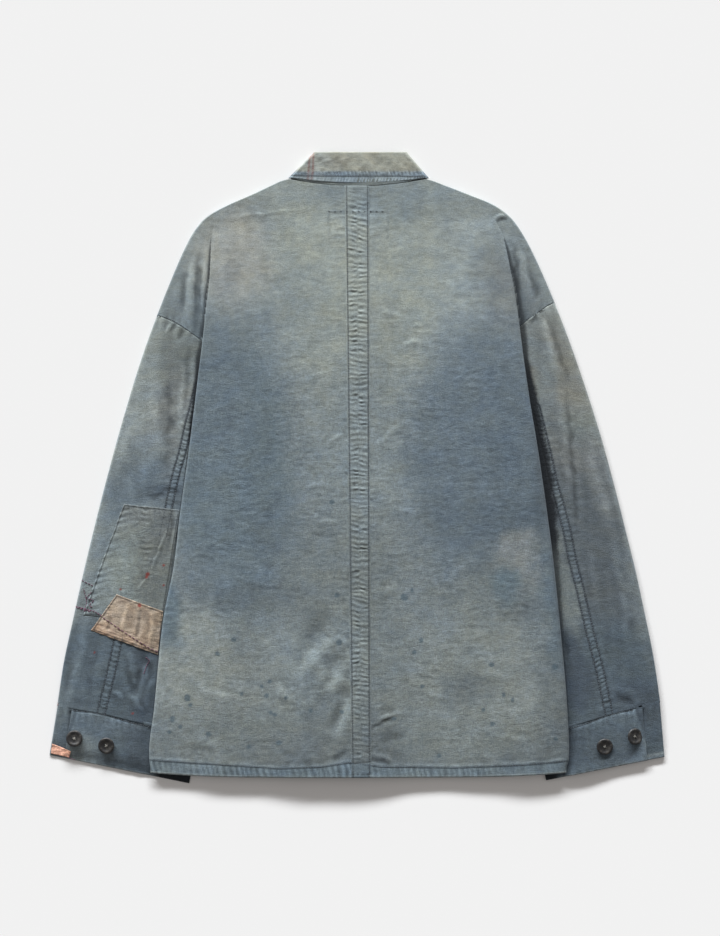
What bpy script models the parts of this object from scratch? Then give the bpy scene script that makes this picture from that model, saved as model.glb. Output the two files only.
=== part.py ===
"""Patched boro work jacket, laid flat on its front with its back upwards.

Sizes are in millimetres in the tables and become metres when a mesh is made.
X runs across the jacket, Y from hem to collar and Z up from the surface it lies on.
Each half is worked out in outward distances from the centre line, on side -1 (left) or +1.
Every cloth piece is an open middle surface that a Solidify modifier gives its wall.
"""
import math
from collections import namedtuple

import bmesh
import bpy
from mathutils import Vector
from mathutils.bvhtree import BVHTree

MM = 0.001
LEFT = -1
RIGHT = 1
NAMES = {LEFT: "left", RIGHT: "right"}
MIDDLE_Y = 371.05         # height of the jacket's middle above its hem line

# Walls
CLOTH = 1.2               # main cloth
CUFF_CLOTH = 1.8          # doubled cloth of the cuffs
PATCH_CLOTH = 1.0         # light patches
HEM_CLOTH = 1.8           # turned-up hem
SEAM = 0.35               # clearance where two pieces meet
HALF = CLOTH / 2

# Levels of the middle surfaces above the table
TABLE = HALF              # front panels, lower layer of the sleeves
EDGE = 5.0                # cloth at the shoulder and sleeve edges
QUARTER = 5.0             # back between the centre and the sleeves
CENTRE = 7.2              # back over the button placket
FOLD_TOP = 10.3           # back along its side fold
NECK_BACK = 5.7           # back neck and back of the collar stand
NECK_FRONT = 2.5          # front neck and front of the collar stand
OUTER_PLACKET = 3.7
INNER_PLACKET = 5.3

# Silhouette of shoulders and sleeves: height above the hem line, outward reach each side
Reach = namedtuple("Reach", "height left right")
OUTLINE = (
    Reach(31, 363.4, 363.4),
    Reach(100, 353.5, 357.0),
    Reach(215, 330.4, 336.5),
    Reach(310, 308.0, 314.0),
    Reach(404, 283.2, 289.1),
    Reach(500, 254.5, 258.0),
    Reach(550, 236.5, 239.5),
    Reach(604, 214.8, 217.1),
    Reach(640, 198.2, 199.4),
    Reach(663, 181.7, 184.1),
    Reach(675, 164.0, 171.1),
    Reach(687, 138.1, 147.5),
    Reach(698.6, 110.9, 115.6),
    Reach(709.3, 88.0, 88.5),
    Reach(711.5, 78.0, 79.5),
)

# Fold along each side of the back
FOLD = (
    Reach(12, 244.0, 247.0),
    Reach(33, 245.5, 250.3),
    Reach(87, 239.5, 248.0),
    Reach(190, 229.0, 239.0),
    Reach(257, 216.0, 232.0),
    Reach(310, 209.8, 225.3),
    Reach(385, 199.4, 214.5),
    Reach(468, 188.8, 201.0),
    Reach(550, 179.0, 189.0),
    Reach(605, 175.3, 181.0),
    Reach(648, 171.5, 170.8),
    Reach(665, 158.0, 160.0),
    Reach(680, 131.0, 137.0),
    Reach(693, 96.0, 100.0),
    Reach(703, 52.0, 56.0),
)

# Inner edge of each sleeve under the body, from the armpit down to the cuff
ARMPIT = 468.0
SLEEVE_INNER = (
    Reach(0, 197.0, 222.0),
    Reach(ARMPIT, 132.0, 133.0),
)
SHOULDER_TIP = {LEFT: 550.0, RIGHT: 565.0}
ARMHOLE_BOW = 12.0        # how far the armhole seam bulges up between its ends

# Layers beside and under the fold, by height
Layer = namedtuple("Layer", "height under sleeve")
LAYERS = (
    Layer(0, 5.5, 4.0),
    Layer(360, 5.5, 4.0),
    Layer(415, 6.3, 4.6),
    Layer(455, 6.9, 5.0),
    Layer(ARMPIT, 7.65, 5.0),
    Layer(720, 7.65, 5.0),
)

# Rows of the body below the armpit
HEM_ROW = 6.2
HEM_BAND = 20.0           # the turned-up hem is this high
HEM_RISE = 6.0            # the hem rises by this much towards the side folds
LOWER_ROWS = (HEM_ROW, 27.0, 70.0, 125.0, 185.0, 245.0, 305.0, 362.0, 415.0, 455.0)

# Rows above it: height at the centre and at the silhouette, turn and drop of the side fold
Upper = namedtuple("Upper", "inner outer turn drop bow")
UPPER_ROWS = (
    Upper(ARMPIT, None, 180, 5.3, ARMHOLE_BOW),
    Upper(505, 570, 180, 5.3, 6),
    Upper(550, 590, 180, 5.3, 2),
    Upper(600, 617, 180, 5.3, 0),
    Upper(636, 640, 165, 5.1, 0),
    Upper(651, 651, 105, 4.0, 0),
    Upper(665, 665, 55, 2.4, 0),
    Upper(680, 680, 30, 1.0, 0),
    Upper(692, 692, 20, 0.5, 0),
    Upper(698, 703.5, 20, 0.4, 0),
    Upper(701.5, 709.0, 20, 0.3, 0),
    Upper(703, 710.6, 20, 0.3, 0),
)
ARMHOLE_STEPS = (1.0, 0.8, 0.6, 0.4, 0.2, 0.0)   # from the armpit out to the shoulder tip
TURNED_UNDER = 8.0        # back cloth turned under at the shoulder edge
NECK_TURN = 2.5           # and beside the neck
SIDE_TURN = 14.0          # back cloth turned under along the side at the hem
CLIMB_FROM = 32.0         # the back starts to climb this far inside the sleeve's edge
CLIMB = 30.0              # and climbs over this width
RAMP = 18.0               # width over which a front climbs onto the sleeve
CREASE_IN = 4.5           # the hidden crease ends this far inside the fold
NECK_START = 695.0        # above this the rows bend up to the shoulder's slope

# Soft changes of level: where each starts, and the distance that it takes
Fade = namedtuple("Fade", "start width")
OVER_PLACKET = Fade(25.0, 55.0)       # outwards, off the button placket
FOLD_SINKS = Fade(636.0, 45.0)        # upwards, the side fold sinks to the neck's level
NECK_RISES = Fade(640.0, 50.0)        # upwards, the whole width comes to the neck's level
EDGE_RISES = Fade(660.0, 32.0)        # upwards, the shoulder edge comes to the neck's level
NECK_LIFTS = Fade(696.0, 10.0)        # upwards, the front leaves the table for the neck
TURN_NARROWS = Fade(695.0, 14.0)      # upwards, less cloth is turned under
LEAN_DIES = Fade(0.0, 120.0)          # outwards, the centre line's lean dies out
PLACKET_SINKS = Fade(610.0, 16.0)     # upwards, the placket thins towards the neck
PLACKET_EASES = Fade(20.0, 40.0)      # outwards, the front comes down off its buttons
COLLAR_UNDER = Fade(580.0, 16.0)      # upwards, the front climbs onto the collar's leaves
COLLAR_PAST = Fade(92.0, 14.0)        # outwards, it comes down again past them

# Centre strap
STRAP_TOP = 26.5
STRAP_HEM = 21.0
CENTRE_DRIFT = 5.0        # the centre line leans this far to the right at the hem
BACK_NECK = 703.0         # height of the back neck seam

# Front opening
PLACKET = 15.0            # overlap each side of the centre front
FRONT_NECK = 628.0
NECK_TOP = 711.0
NECK_HALF = 70.0
FRONT_SHORTER = 2.5       # the front hems stay hidden behind the back's
FRONT_COLUMNS = (0.0, 20.0, 42.0, 60.0)   # outward places beside the centre front
NECK_COLUMNS = (0.0, 0.1, 0.2, 0.3, 0.4)  # shares of the width beside the neckline
BUTTON_HEIGHTS = (50.0, 187.0, 324.0, 461.0, 598.0)

# Collar: half widths each side at the roll and at the lower edge
ROLL_HALF = {LEFT: 52.0, RIGHT: 60.0}
FALL_HALF = {LEFT: 81.4, RIGHT: 85.0}
ROLL_Y = 743.4
FALL_Y = 706.5
FALL_SIDE_Y = 712.2
LEAF_HIGH = 7.6           # level of the fall on the back
LEAF_GAP = 1.9            # from the fall to the stand inside it
STAND_HALF = {LEFT: 78.0, RIGHT: 79.5}
STAND_SIDE_Y = 711.0
STAND_Y = 703.45
FRONT_ROLL_Y = 655.0
POINT_X = 48.0
POINT_Y = 598.0
POINT_GAP = 6.0           # half the gap between the two leaves at the top button

# Cuffs: outer and inner corners of the top seam and of the lower edge
Cuff = namedtuple("Cuff", "outer_top inner_top outer_low inner_low lap")
CUFFS = {
    LEFT: Cuff((354.0, 90.0), (186.8, 55.5), (363.4, 32.5), (197.0, -1.2), 0.11),
    RIGHT: Cuff((358.0, 94.5), (211.8, 54.5), (363.4, 30.5), (221.8, 2.6), 0.15),
}
CUFF_TOP = 5.3
CUFF_UNDERLAP = 3.1
CUFF_HIDDEN = 3.3
CUFF_LOW = CUFF_CLOTH / 2

# Buttons
BUTTON_RADIUS = 9.7
BUTTON_THICK = 2.8
BUTTON_STEPS = 16
BUTTON_HOLE = 1.0
BUTTON_HOLE_OUT = 2.0
CUFF_BUTTONS = {
    "cuff_button_left_outer": (-332.8, 52.0),
    "cuff_button_left_inner": (-295.0, 43.7),
    "cuff_button_right_inner": (291.5, 42.5),
    "cuff_button_right_outer": (326.9, 54.3),
}

# Patches: corners of each outline, in order round it, as X and Y
ELBOW_PATCH = ((-274.0, 328.0), (-209.0, 321.0), (-228.0, 193.0), (-322.0, 197.0))
BEIGE_PATCH = ((-283.2, 221.3), (-228.6, 201.8), (-232.0, 149.9), (-313.2, 179.4))
SALMON_PATCH = ((-359.0, 45.5), (-337.5, 36.6), (-339.9, 29.5), (-361.0, 34.0))
PATCH_CLEAR = 1.0         # a patch stops this far outside the body's fold
PATCH_GAP = 0.45          # over the soft pleats of the sleeve
PATCH_BOW = 1.4           # the elbow patch's outer edge bows out by this much
BEIGE_SPREAD = 10.0       # it spans the elbow patch's lower edge
SALMON_SPREAD = 5.0

COLOURS = {
    "denim": (0.20, 0.25, 0.27),
    "slate": (0.11, 0.16, 0.20),
    "sage": (0.30, 0.32, 0.26),
    "strap": (0.22, 0.28, 0.31),
    "pale": (0.25, 0.31, 0.31),
    "beige": (0.42, 0.34, 0.25),
    "salmon": (0.72, 0.36, 0.24),
    "button": (0.035, 0.033, 0.033),
}


# Small helpers -------------------------------------------------------------

def lerp(a, b, t):
    return a + (b - a) * t


def ease(t):
    """Smooth step from 0 to 1."""
    t = min(max(t, 0.0), 1.0)
    return t * t * (3 - 2 * t)


def fade(place, change):
    """Share of a soft change that is done at a place."""
    return ease((place - change.start) / change.width)


def through(rows, column, height):
    """Value of a named column at a height, on a smooth line through the rows."""
    heights = [row.height for row in rows]
    values = [getattr(row, column) for row in rows]
    last = len(rows) - 1
    height = min(max(height, heights[0]), heights[last])
    i = max(k for k in range(last) if heights[k] <= height)
    step = heights[i + 1] - heights[i]

    def slope(k):
        low = max(k - 1, 0)
        high = min(k + 1, last)
        return (values[high] - values[low]) / (heights[high] - heights[low])

    t = (height - heights[i]) / step
    a = values[i]
    b = values[i + 1]
    ma = slope(i) * step
    mb = slope(i + 1) * step
    return ((2 * t**3 - 3 * t**2 + 1) * a + (t**3 - 2 * t**2 + t) * ma
            + (3 * t**2 - 2 * t**3) * b + (t**3 - t**2) * mb)


def straight(rows, column, height):
    """Value of a named column at a height, on straight lines between the rows."""
    for low, high in zip(rows, rows[1:]):
        if height <= high.height:
            t = (height - low.height) / (high.height - low.height)
            return lerp(getattr(low, column), getattr(high, column), max(t, 0.0))
    return getattr(rows[-1], column)


def hem_curve(height, out):
    """The lowest row curves up towards the side folds."""
    return height + (HEM_RISE * (out / 245.0) ** 4 if height == HEM_ROW else 0.0)


def reach(side, height):
    return through(OUTLINE, NAMES[side], height)


def fold(side, height):
    return through(FOLD, NAMES[side], height)


def sleeve_inner(side, height):
    return straight(SLEEVE_INNER, NAMES[side], height)


def centre_x(height):
    """The centre back line leans towards the right at the hem."""
    return CENTRE_DRIFT * (1 - height / BACK_NECK)


def side_seam(side, height):
    """Outward place of the hidden side seam."""
    low = fold(side, height) - SIDE_TURN
    return lerp(low, sleeve_inner(side, ARMPIT), (height / ARMPIT) ** 2.2)


def armhole(side, step):
    """Point of the armhole seam: step 1 at the armpit, 0 at the shoulder tip."""
    out = lerp(reach(side, SHOULDER_TIP[side]) - HALF - 2.2, sleeve_inner(side, ARMPIT), step)
    height = lerp(SHOULDER_TIP[side], ARMPIT, step) + ARMHOLE_BOW * 4 * step * (1 - step)
    return out, height


def turn(points, start, angle_from, angle_to, radius, steps):
    """Carry a section on round an arc. Angle 0 heads outwards and 180 back inwards."""
    right_hand = 1 if angle_to > angle_from else -1

    def normal(angle):
        return (-math.sin(math.radians(angle)), -math.cos(math.radians(angle)))

    n = normal(angle_from)
    centre = (start[0] + right_hand * radius * n[0], start[1] + right_hand * radius * n[1])
    for k in range(1, steps + 1):
        n = normal(lerp(angle_from, angle_to, k / steps))
        points.append((centre[0] - right_hand * radius * n[0],
                       centre[1] - right_hand * radius * n[1]))
    return points[-1]


# Building objects ----------------------------------------------------------

def clear_scene():
    for item in list(bpy.data.objects):
        bpy.data.objects.remove(item, do_unlink=True)


def new_material(name, colour, roughness=0.92):
    material = bpy.data.materials.new(name)
    material.use_nodes = True
    shader = material.node_tree.nodes["Principled BSDF"]
    shader.inputs["Base Color"].default_value = (*COLOURS[colour], 1.0)
    shader.inputs["Roughness"].default_value = roughness
    shader.inputs["Metallic"].default_value = 0.0
    return material


def to_world(x, y, z):
    return Vector((x * MM, (y - MIDDLE_Y) * MM, z * MM))


def add_object(name, mesh, collection, colour):
    item = bpy.data.objects.new(name, mesh)
    collection.objects.link(item)
    mesh.materials.clear()
    mesh.materials.append(new_material(name, colour))
    return item


def surface(name, grid, closed=False, flip=False):
    """Open surface from rows of points. Rows may be shorter than the one before."""
    mesh = bpy.data.meshes.new(name)
    bm = bmesh.new()
    rows = [[bm.verts.new(to_world(*point)) for point in row] for row in grid]
    for low, high in zip(rows, rows[1:]):
        count = min(len(low), len(high))
        spans = count if closed else count - 1
        for k in range(spans):
            n = (k + 1) % count
            corners = (low[k], low[n], high[n], high[k])
            bm.faces.new(tuple(reversed(corners)) if flip else corners)
    loose = [v for v in bm.verts if not v.link_faces]
    bmesh.ops.delete(bm, geom=loose, context="VERTS")
    bm.to_mesh(mesh)
    bm.free()
    mesh.shade_smooth()
    return mesh


def thicken(item, wall):
    solid = item.modifiers.new("Wall", "SOLIDIFY")
    solid.thickness = wall * MM
    solid.offset = 0.0
    solid.use_even_offset = True
    solid.use_quality_normals = True
    return solid


def thicker_hem(item, solid, below):
    """The turned-up hem gets its doubled wall below the given height."""
    group = item.vertex_groups.new(name="Hem")
    for vertex in item.data.vertices:
        at_hem = vertex.co.y < to_world(0, below, 0).y
        group.add([vertex.index], 1.0 if at_hem else CLOTH / HEM_CLOTH, "REPLACE")
    solid.thickness = HEM_CLOTH * MM
    solid.vertex_group = group.name


def cloth(name, grid, collection, colour, wall=CLOTH, closed=False, flip=False):
    item = add_object(name, surface(name, grid, closed, flip), collection, colour)
    thicken(item, wall)
    return item


# Back panels and strap -----------------------------------------------------

def back_level(side, out, height):
    """Height of the back's middle surface, without its side fold."""
    over_placket = (CENTRE - QUARTER) * (1 - fade(out, OVER_PLACKET))
    climb = ease((out - (folded_from(side, height) - CLIMB_FROM)) / CLIMB)
    top = lerp(FOLD_TOP, NECK_BACK, fade(height, FOLD_SINKS))
    level = QUARTER + over_placket + (top - QUARTER) * climb
    return lerp(level, NECK_BACK, fade(height, NECK_RISES))


def crease(side, height):
    """Hidden inner turn of the side fold, above the armpit."""
    top = NECK_RISES.start
    t = ease((height - ARMPIT) / (top - ARMPIT))
    return lerp(sleeve_inner(side, ARMPIT), fold(side, top) - CREASE_IN, t)


def folded_from(side, height):
    """Inner edge of what lies under the side fold: the sleeve, or the crease above it."""
    return sleeve_inner(side, height) if height < ARMPIT else crease(side, height)


def main_stations(side, height, last):
    """Outward distances of the back's columns, from the centre to the fold."""
    edge = min(folded_from(side, height), last - 8.0)
    strap = strap_half(height)
    foot = max(edge - CLIMB_FROM, last * 0.62)
    inner = (SEAM / 2, strap + 3.0, lerp(strap, foot, 0.36), lerp(strap, foot, 0.7), foot)
    climb = [lerp(foot, edge, t) for t in (0.33, 0.66, 1.0)]
    return (*inner, *climb, lerp(edge, last, 0.5), last)


def strap_half(height):
    return lerp(STRAP_HEM, STRAP_TOP, height / BACK_NECK) / 2


def lower_section(side, height):
    """Back below the armpit: across, round the fold and under to the side seam."""
    under = through(LAYERS, "under", height)
    top = back_level(side, fold(side, height) - 4.0, height)
    radius = (top - under) / 2
    last = fold(side, height) - HALF - radius
    section = [(w, back_level(side, w, height)) for w in main_stations(side, height, last)]
    section[-1] = (last, top)
    end = turn(section, section[-1], 0, 180, radius, 4)
    seam = side_seam(side, height) + SEAM / 2
    section.append((lerp(end[0], seam, 0.5), under))
    section.append((seam, under))
    return [(w, hem_curve(height, w), z) for w, z in section]


def turned_under(height):
    """Width of back cloth turned under at the shoulder edge, less at the neck."""
    return lerp(TURNED_UNDER, NECK_TURN, fade(height, TURN_NARROWS))


def shoulder_levels(inner, outer):
    """Levels of the back and of the front layer at the shoulder edge of a row."""
    return (lerp(EDGE, NECK_BACK, fade(inner, EDGE_RISES)),
            lerp(TABLE, NECK_FRONT, fade(outer, NECK_LIFTS)))


def upper_section(side, row):
    """Back above the armpit: across, the side fold, out to the edge and under."""
    outer = row.outer or SHOULDER_TIP[side]
    edge, low_edge = shoulder_levels(row.inner, outer)
    share = 2 * (1 - math.cos(math.radians(row.turn)))
    radius = row.drop / share
    across = math.sin(math.radians(min(row.turn, 90))) * radius
    last = fold(side, row.inner) - HALF - across
    section = [(w, back_level(side, w, row.inner))
               for w in main_stations(side, row.inner, last)]
    section[-1] = (last, edge + row.drop)
    place = turn(section, section[-1], 0, row.turn, radius, 4)
    middle = max(place[0] - (crease(side, row.inner) + radius), 0.0)
    middle = middle if row.turn == 180 else 0.0
    section.append((lerp(place[0], place[0] - middle, 0.5), place[1]))
    section.append((place[0] - middle, place[1]))
    if middle < 0.5:
        heading = math.radians(row.turn)
        for k in (1, 2):
            section[-3 + k] = (place[0] + 0.3 * k * math.cos(heading),
                               place[1] - 0.3 * k * math.sin(heading))
    place = turn(section, section[-1], row.turn, 0, radius, 3)
    rim = (edge - low_edge) / 2
    out = reach(side, outer) - HALF - rim
    under = turned_under(outer)
    rise = 0.0 if row.inner < NECK_START else outer - row.inner
    points = [(w, row.inner + rise * (w / out) ** 2, z) for w, z in section]
    start_y = points[-1][1]
    lobe = []
    for step in ARMHOLE_STEPS[1:]:
        t = 1 - step
        w = lerp(place[0], out, t)
        y = lerp(start_y, outer, t) + row.bow * 4 * t * (1 - t)
        lobe.append((w, y, lerp(place[1], edge, t)))
    arc = []
    turn(arc, (out, edge), 0, 180, rim, 4)
    arc.append((out - under, low_edge))
    return points + lobe + [(w, outer, z) for w, z in arc]


def back_rows(side):
    rows = [lower_section(side, height) for height in LOWER_ROWS]
    return rows + [upper_section(side, row) for row in UPPER_ROWS]


def mirrored(side, rows, lean=True):
    """Outward distances become X on the given side."""
    return [[(side * w + (centre_x(y) if lean else 0.0) * lean_share(w), y, z)
             for w, y, z in row] for row in rows]


def lean_share(out):
    """The centre line's lean dies out towards the sides."""
    return 1 - fade(out, LEAN_DIES)


def build_back(side, collection):
    name = "back_" + NAMES[side]
    item = cloth(name, mirrored(side, back_rows(side)), collection, "denim",
                 flip=side == LEFT)
    thicker_hem(item, item.modifiers["Wall"], below=HEM_BAND)
    return item


def build_strap(collection):
    """Covers the centre back seam from the neck to the hem."""
    lift = HALF + SEAM + CLOTH / 2
    rows = []
    for height in (*LOWER_ROWS, *(row.inner for row in UPPER_ROWS)):
        half = strap_half(height)
        extra = (HEM_CLOTH - CLOTH) / 2 if height < 2 * HEM_BAND else 0.0
        z = back_level(RIGHT, 0.0, height) + lift + extra
        rows.append([(centre_x(height) + share * half, height, z)
                     for share in (-1.0, 0.0, 1.0)])
    return cloth("centre_back_strap", rows, collection, "strap")


# Front panels --------------------------------------------------------------

def front_level(side, out, height, ramp_end, placket):
    """Height of a front panel's middle surface."""
    placket -= (OUTER_PLACKET - NECK_FRONT) * fade(height, PLACKET_SINKS)
    over_buttons = (placket - TABLE) * (1 - fade(out, PLACKET_EASES))
    over_collar = (NECK_FRONT - TABLE) * fade(height, COLLAR_UNDER)
    over_collar *= 1 - fade(out, COLLAR_PAST)
    level = TABLE + max(over_buttons, over_collar)
    if height < ARMPIT:
        under = through(LAYERS, "under", height)
        level += (under - TABLE) * ease((out - ramp_end + RAMP) / RAMP)
    return level


def neckline(height):
    """Outward place of the front neckline at a height."""
    return NECK_HALF * max((height - FRONT_NECK) / (NECK_TOP - FRONT_NECK), 0.0) ** 0.55


def front_rows(side, overlap, placket):
    rows = []
    for height in LOWER_ROWS:
        seam = side_seam(side, height) - SEAM / 2
        ramp_end = min(sleeve_inner(side, height), seam - 10.0) - 1.5
        ramp = [ramp_end - RAMP * share for share in (1.0, 0.67, 0.33, 0.0)]
        stations = (-overlap, *FRONT_COLUMNS, lerp(FRONT_COLUMNS[-1], ramp_end, 0.45),
                    *ramp, lerp(ramp_end, seam, 0.5), seam)
        rows.append([(w, hem_curve(height, w) + FRONT_SHORTER * (height == HEM_ROW),
                      front_level(side, w, height, ramp_end, placket)) for w in stations])
    ends = []
    for step in ARMHOLE_STEPS:
        out, height = armhole(side, step)
        ends.append((out - (TURNED_UNDER + SEAM) * (1 - step), height))
    for row in UPPER_ROWS[1:]:
        edge, low_edge = shoulder_levels(row.inner, row.outer)
        if row.outer > SHOULDER_TIP[side] + SEAM:
            rim = (edge - low_edge) / 2
            out = reach(side, row.outer) - HALF - rim - turned_under(row.outer)
            ends.append((out - SEAM, row.outer))
    for out, height in ends:
        start = neckline(height) if height > FRONT_NECK else -overlap
        fixed = (start, *FRONT_COLUMNS)
        if height > BUTTON_HEIGHTS[-1]:
            fixed = [lerp(start, out, share) for share in NECK_COLUMNS]
        rest = [lerp(fixed[-1], out, k / 7) for k in range(1, 8)]
        rows.append([(w, height, front_level(side, w, height, out, placket))
                     for w in (*fixed, *rest)])
    return rows


def build_front(side, collection):
    """The left front laps over the right one, so it lies nearer the table."""
    placket = OUTER_PLACKET if side == LEFT else INNER_PLACKET
    rows = mirrored(side, front_rows(side, PLACKET, placket), lean=False)
    return cloth("front_" + NAMES[side], rows, collection, "denim", flip=side == RIGHT)


# Sleeves and cuffs ---------------------------------------------------------

SLEEVE_ROWS = (0.0, 0.05, 0.13, 0.23, 0.34, 0.45, 0.56, 0.67, 0.78, 0.89, 1.0)
CORNER_CUT = 16.0         # the sleeve's top inner corner stops this far below the armpit

# Long soft folds down the visible part: place from its outer edge to the body, height
Pleat = namedtuple("Pleat", "at rise")
PLEATS = (Pleat(0.27, 0.8), Pleat(0.55, -0.3), Pleat(0.8, 0.45))


def sleeve_spine(side, t):
    """Outer and inner ends of a sleeve row, from the armhole (0) to the cuff seam (1)."""
    cuff = CUFFS[side]
    outer_y = lerp(SHOULDER_TIP[side], cuff.outer_top[1], t)
    inner_y = lerp(ARMPIT, cuff.inner_top[1], t)
    outer = (lerp(reach(side, outer_y), cuff.outer_top[0], ease(t * 8 - 7)), outer_y)
    inner = (lerp(sleeve_inner(side, ARMPIT), cuff.inner_top[0], t), inner_y)
    return outer, inner


def sleeve_stations(side, t):
    """Upper layer of a sleeve row as outward places and levels, outer edge first."""
    outer, inner = sleeve_spine(side, t)
    first = outer[0] - HALF - (EDGE - TABLE) / 2
    hidden = through(LAYERS, "sleeve", inner[1])
    last = inner[0] + HALF + (hidden - TABLE) / 2
    under = fold(side, lerp(outer[1], inner[1], 0.5)) - 3.0
    settled = ease(t / 0.2)
    stations = [(first, EDGE)]
    for pleat in PLEATS:
        stations.append((lerp(first, under, pleat.at), EDGE + pleat.rise))
    stations.append((under, hidden))
    stations.append((last, hidden))
    even = [(lerp(first, last, step), EDGE) for step in reversed(ARMHOLE_STEPS)]
    return [(lerp(a, c, settled), lerp(b, d, settled))
            for (a, b), (c, d) in zip(even, stations)]


def sleeve_ring(side, t):
    """One ring of the flattened tube, from the upper outer edge round to the start."""
    outer, inner = sleeve_spine(side, t)
    upper = sleeve_stations(side, t)
    first = upper[0]
    last = upper[-1]
    outer_arc = []
    turn(outer_arc, first, 0, 180, (first[1] - TABLE) / 2, 4)
    inner_arc = []
    turn(inner_arc, (-last[0], last[1]), 0, 180, (last[1] - TABLE) / 2, 4)
    section = upper + [(-w, z) for w, z in inner_arc]
    section += [(w, TABLE) for w, _ in reversed(upper[:-1])]
    section += list(reversed(outer_arc[:-1]))
    bow = ARMHOLE_BOW * max(1 - t / 0.2, 0.0)
    cut = CORNER_CUT * max(1 - t / 0.05, 0.0)
    gap = SEAM * (1 if t == 0 else -1 if t == 1 else 0)
    ring = []
    for w, z in section:
        if t < 0.5:
            share = min(max((first[0] - w) / (first[0] - last[0]), 0.0), 1.0)
        else:
            share = (outer[0] - w) / (outer[0] - inner[0])
        y = lerp(outer[1], inner[1], share) + bow * 4 * share * (1 - share) - gap
        ring.append((w, y - cut * max((share - 0.8) / 0.2, 0.0), z))
    return ring


def build_sleeve(side, collection):
    rings = [sleeve_ring(side, t) for t in SLEEVE_ROWS]
    return cloth("sleeve_" + NAMES[side], mirrored(side, rings, lean=False), collection,
                 "slate", closed=True, flip=side == LEFT)


def cuff_section(side, t):
    """Cuff strip at one height: underlap, round the outer edge, below, and back over."""
    cuff = CUFFS[side]
    outer = [lerp(a, b, t) for a, b in zip(cuff.outer_top, cuff.outer_low)]
    inner = [lerp(a, b, t) for a, b in zip(cuff.inner_top, cuff.inner_low)]
    wall = CUFF_CLOTH / 2
    outer_radius = (CUFF_UNDERLAP - CUFF_LOW) / 2
    inner_radius = (CUFF_HIDDEN - CUFF_LOW) / 2
    first = outer[0] - wall - outer_radius
    last = inner[0] + wall + inner_radius

    def at(out, level):
        share = (outer[0] - out) / (outer[0] - inner[0])
        return (out, lerp(outer[1], inner[1], share), level)

    lap = lerp(outer[0], inner[0], cuff.lap)
    edge = fold(side, inner[1])
    section = [(lap - 12.0, CUFF_UNDERLAP), (lerp(lap - 12.0, first, 0.5), CUFF_UNDERLAP),
               (first, CUFF_UNDERLAP)]
    turn(section, section[-1], 0, 180, outer_radius, 4)
    section += [(lerp(first, last, s), CUFF_LOW) for s in (0.25, 0.5, 0.75, 1.0)]
    arc = []
    turn(arc, (-last, CUFF_HIDDEN), 0, 180, inner_radius, 4)
    section += [(-w, z) for w, z in reversed(arc[:-1])]
    section.append((last, CUFF_HIDDEN))
    section.append((edge - 3.0, CUFF_HIDDEN))
    section.append((edge + 12.0, CUFF_TOP))
    section.append((lerp(edge + 12.0, lap, 0.5), CUFF_TOP))
    section.append((lap, CUFF_TOP))
    return [at(w, z) for w, z in section]


def build_cuff(side, collection):
    rows = [cuff_section(side, t) for t in (0.0, 0.5, 1.0)]
    return cloth("cuff_" + NAMES[side], mirrored(side, rows, lean=False), collection,
                 "slate", wall=CUFF_CLOTH, flip=side == RIGHT)


# Collar --------------------------------------------------------------------

BACK_STEPS = 8
NECK_STEPS = (NECK_TOP, 703.5, 680.0, 651.0, FRONT_NECK + 1.5)
FRONT_STEPS = len(NECK_STEPS)


def collar_ring(inset, back_low, side_low, front_low, roll):
    """Stations round the neck, from the left point by the back to the right point.

    Each station gives its lower and upper ends in plan and its level, inset from the fall.
    """
    high = LEAF_HIGH - inset
    low = TABLE + inset
    radius = (high - low) / 2
    stations = []
    for side in (LEFT, RIGHT):
        foot_half = side_low[side][0] - HALF - inset - radius
        head_half = ROLL_HALF[side] - HALF - inset - radius
        half = []
        for k in range(BACK_STEPS // 2 + 1):
            q = k / (BACK_STEPS // 2)
            half.append(((q * foot_half, lerp(back_low, side_low[side][1], q * q), high),
                         (q * head_half, roll, high)))
        for angle in (30, 60, 90, 120, 150, 180):
            out = radius * math.sin(math.radians(angle))
            level = low + radius + radius * math.cos(math.radians(angle))
            half.append(((foot_half + out, side_low[side][1], level),
                         (head_half + out, roll, level)))
        for k in range(1, FRONT_STEPS + 1):
            q = k / FRONT_STEPS
            half.append((front_low(q, foot_half) + (low,),
                         (lerp(head_half, POINT_GAP, q),
                          lerp(roll, FRONT_ROLL_Y, q ** 1.3) - inset * min(3 * q, 1), low)))
        half = [tuple((side * w, y, z) for w, y, z in pair) for pair in half]
        stations = half[::-1] if side == LEFT else stations + half[1:]
    return stations


def point_edge(q, start):
    """Lower edge of the fall on the front, down to the collar point."""
    return (lerp(start, POINT_X, q), lerp(FALL_SIDE_Y, POINT_Y, q ** 0.8))


def neck_edge(q, _):
    """Lower edge of the stand on the front, along the neckline."""
    height = NECK_STEPS[round(q * FRONT_STEPS) - 1]
    return (max(neckline(height), 2.0), height + 3 * SEAM)


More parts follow.
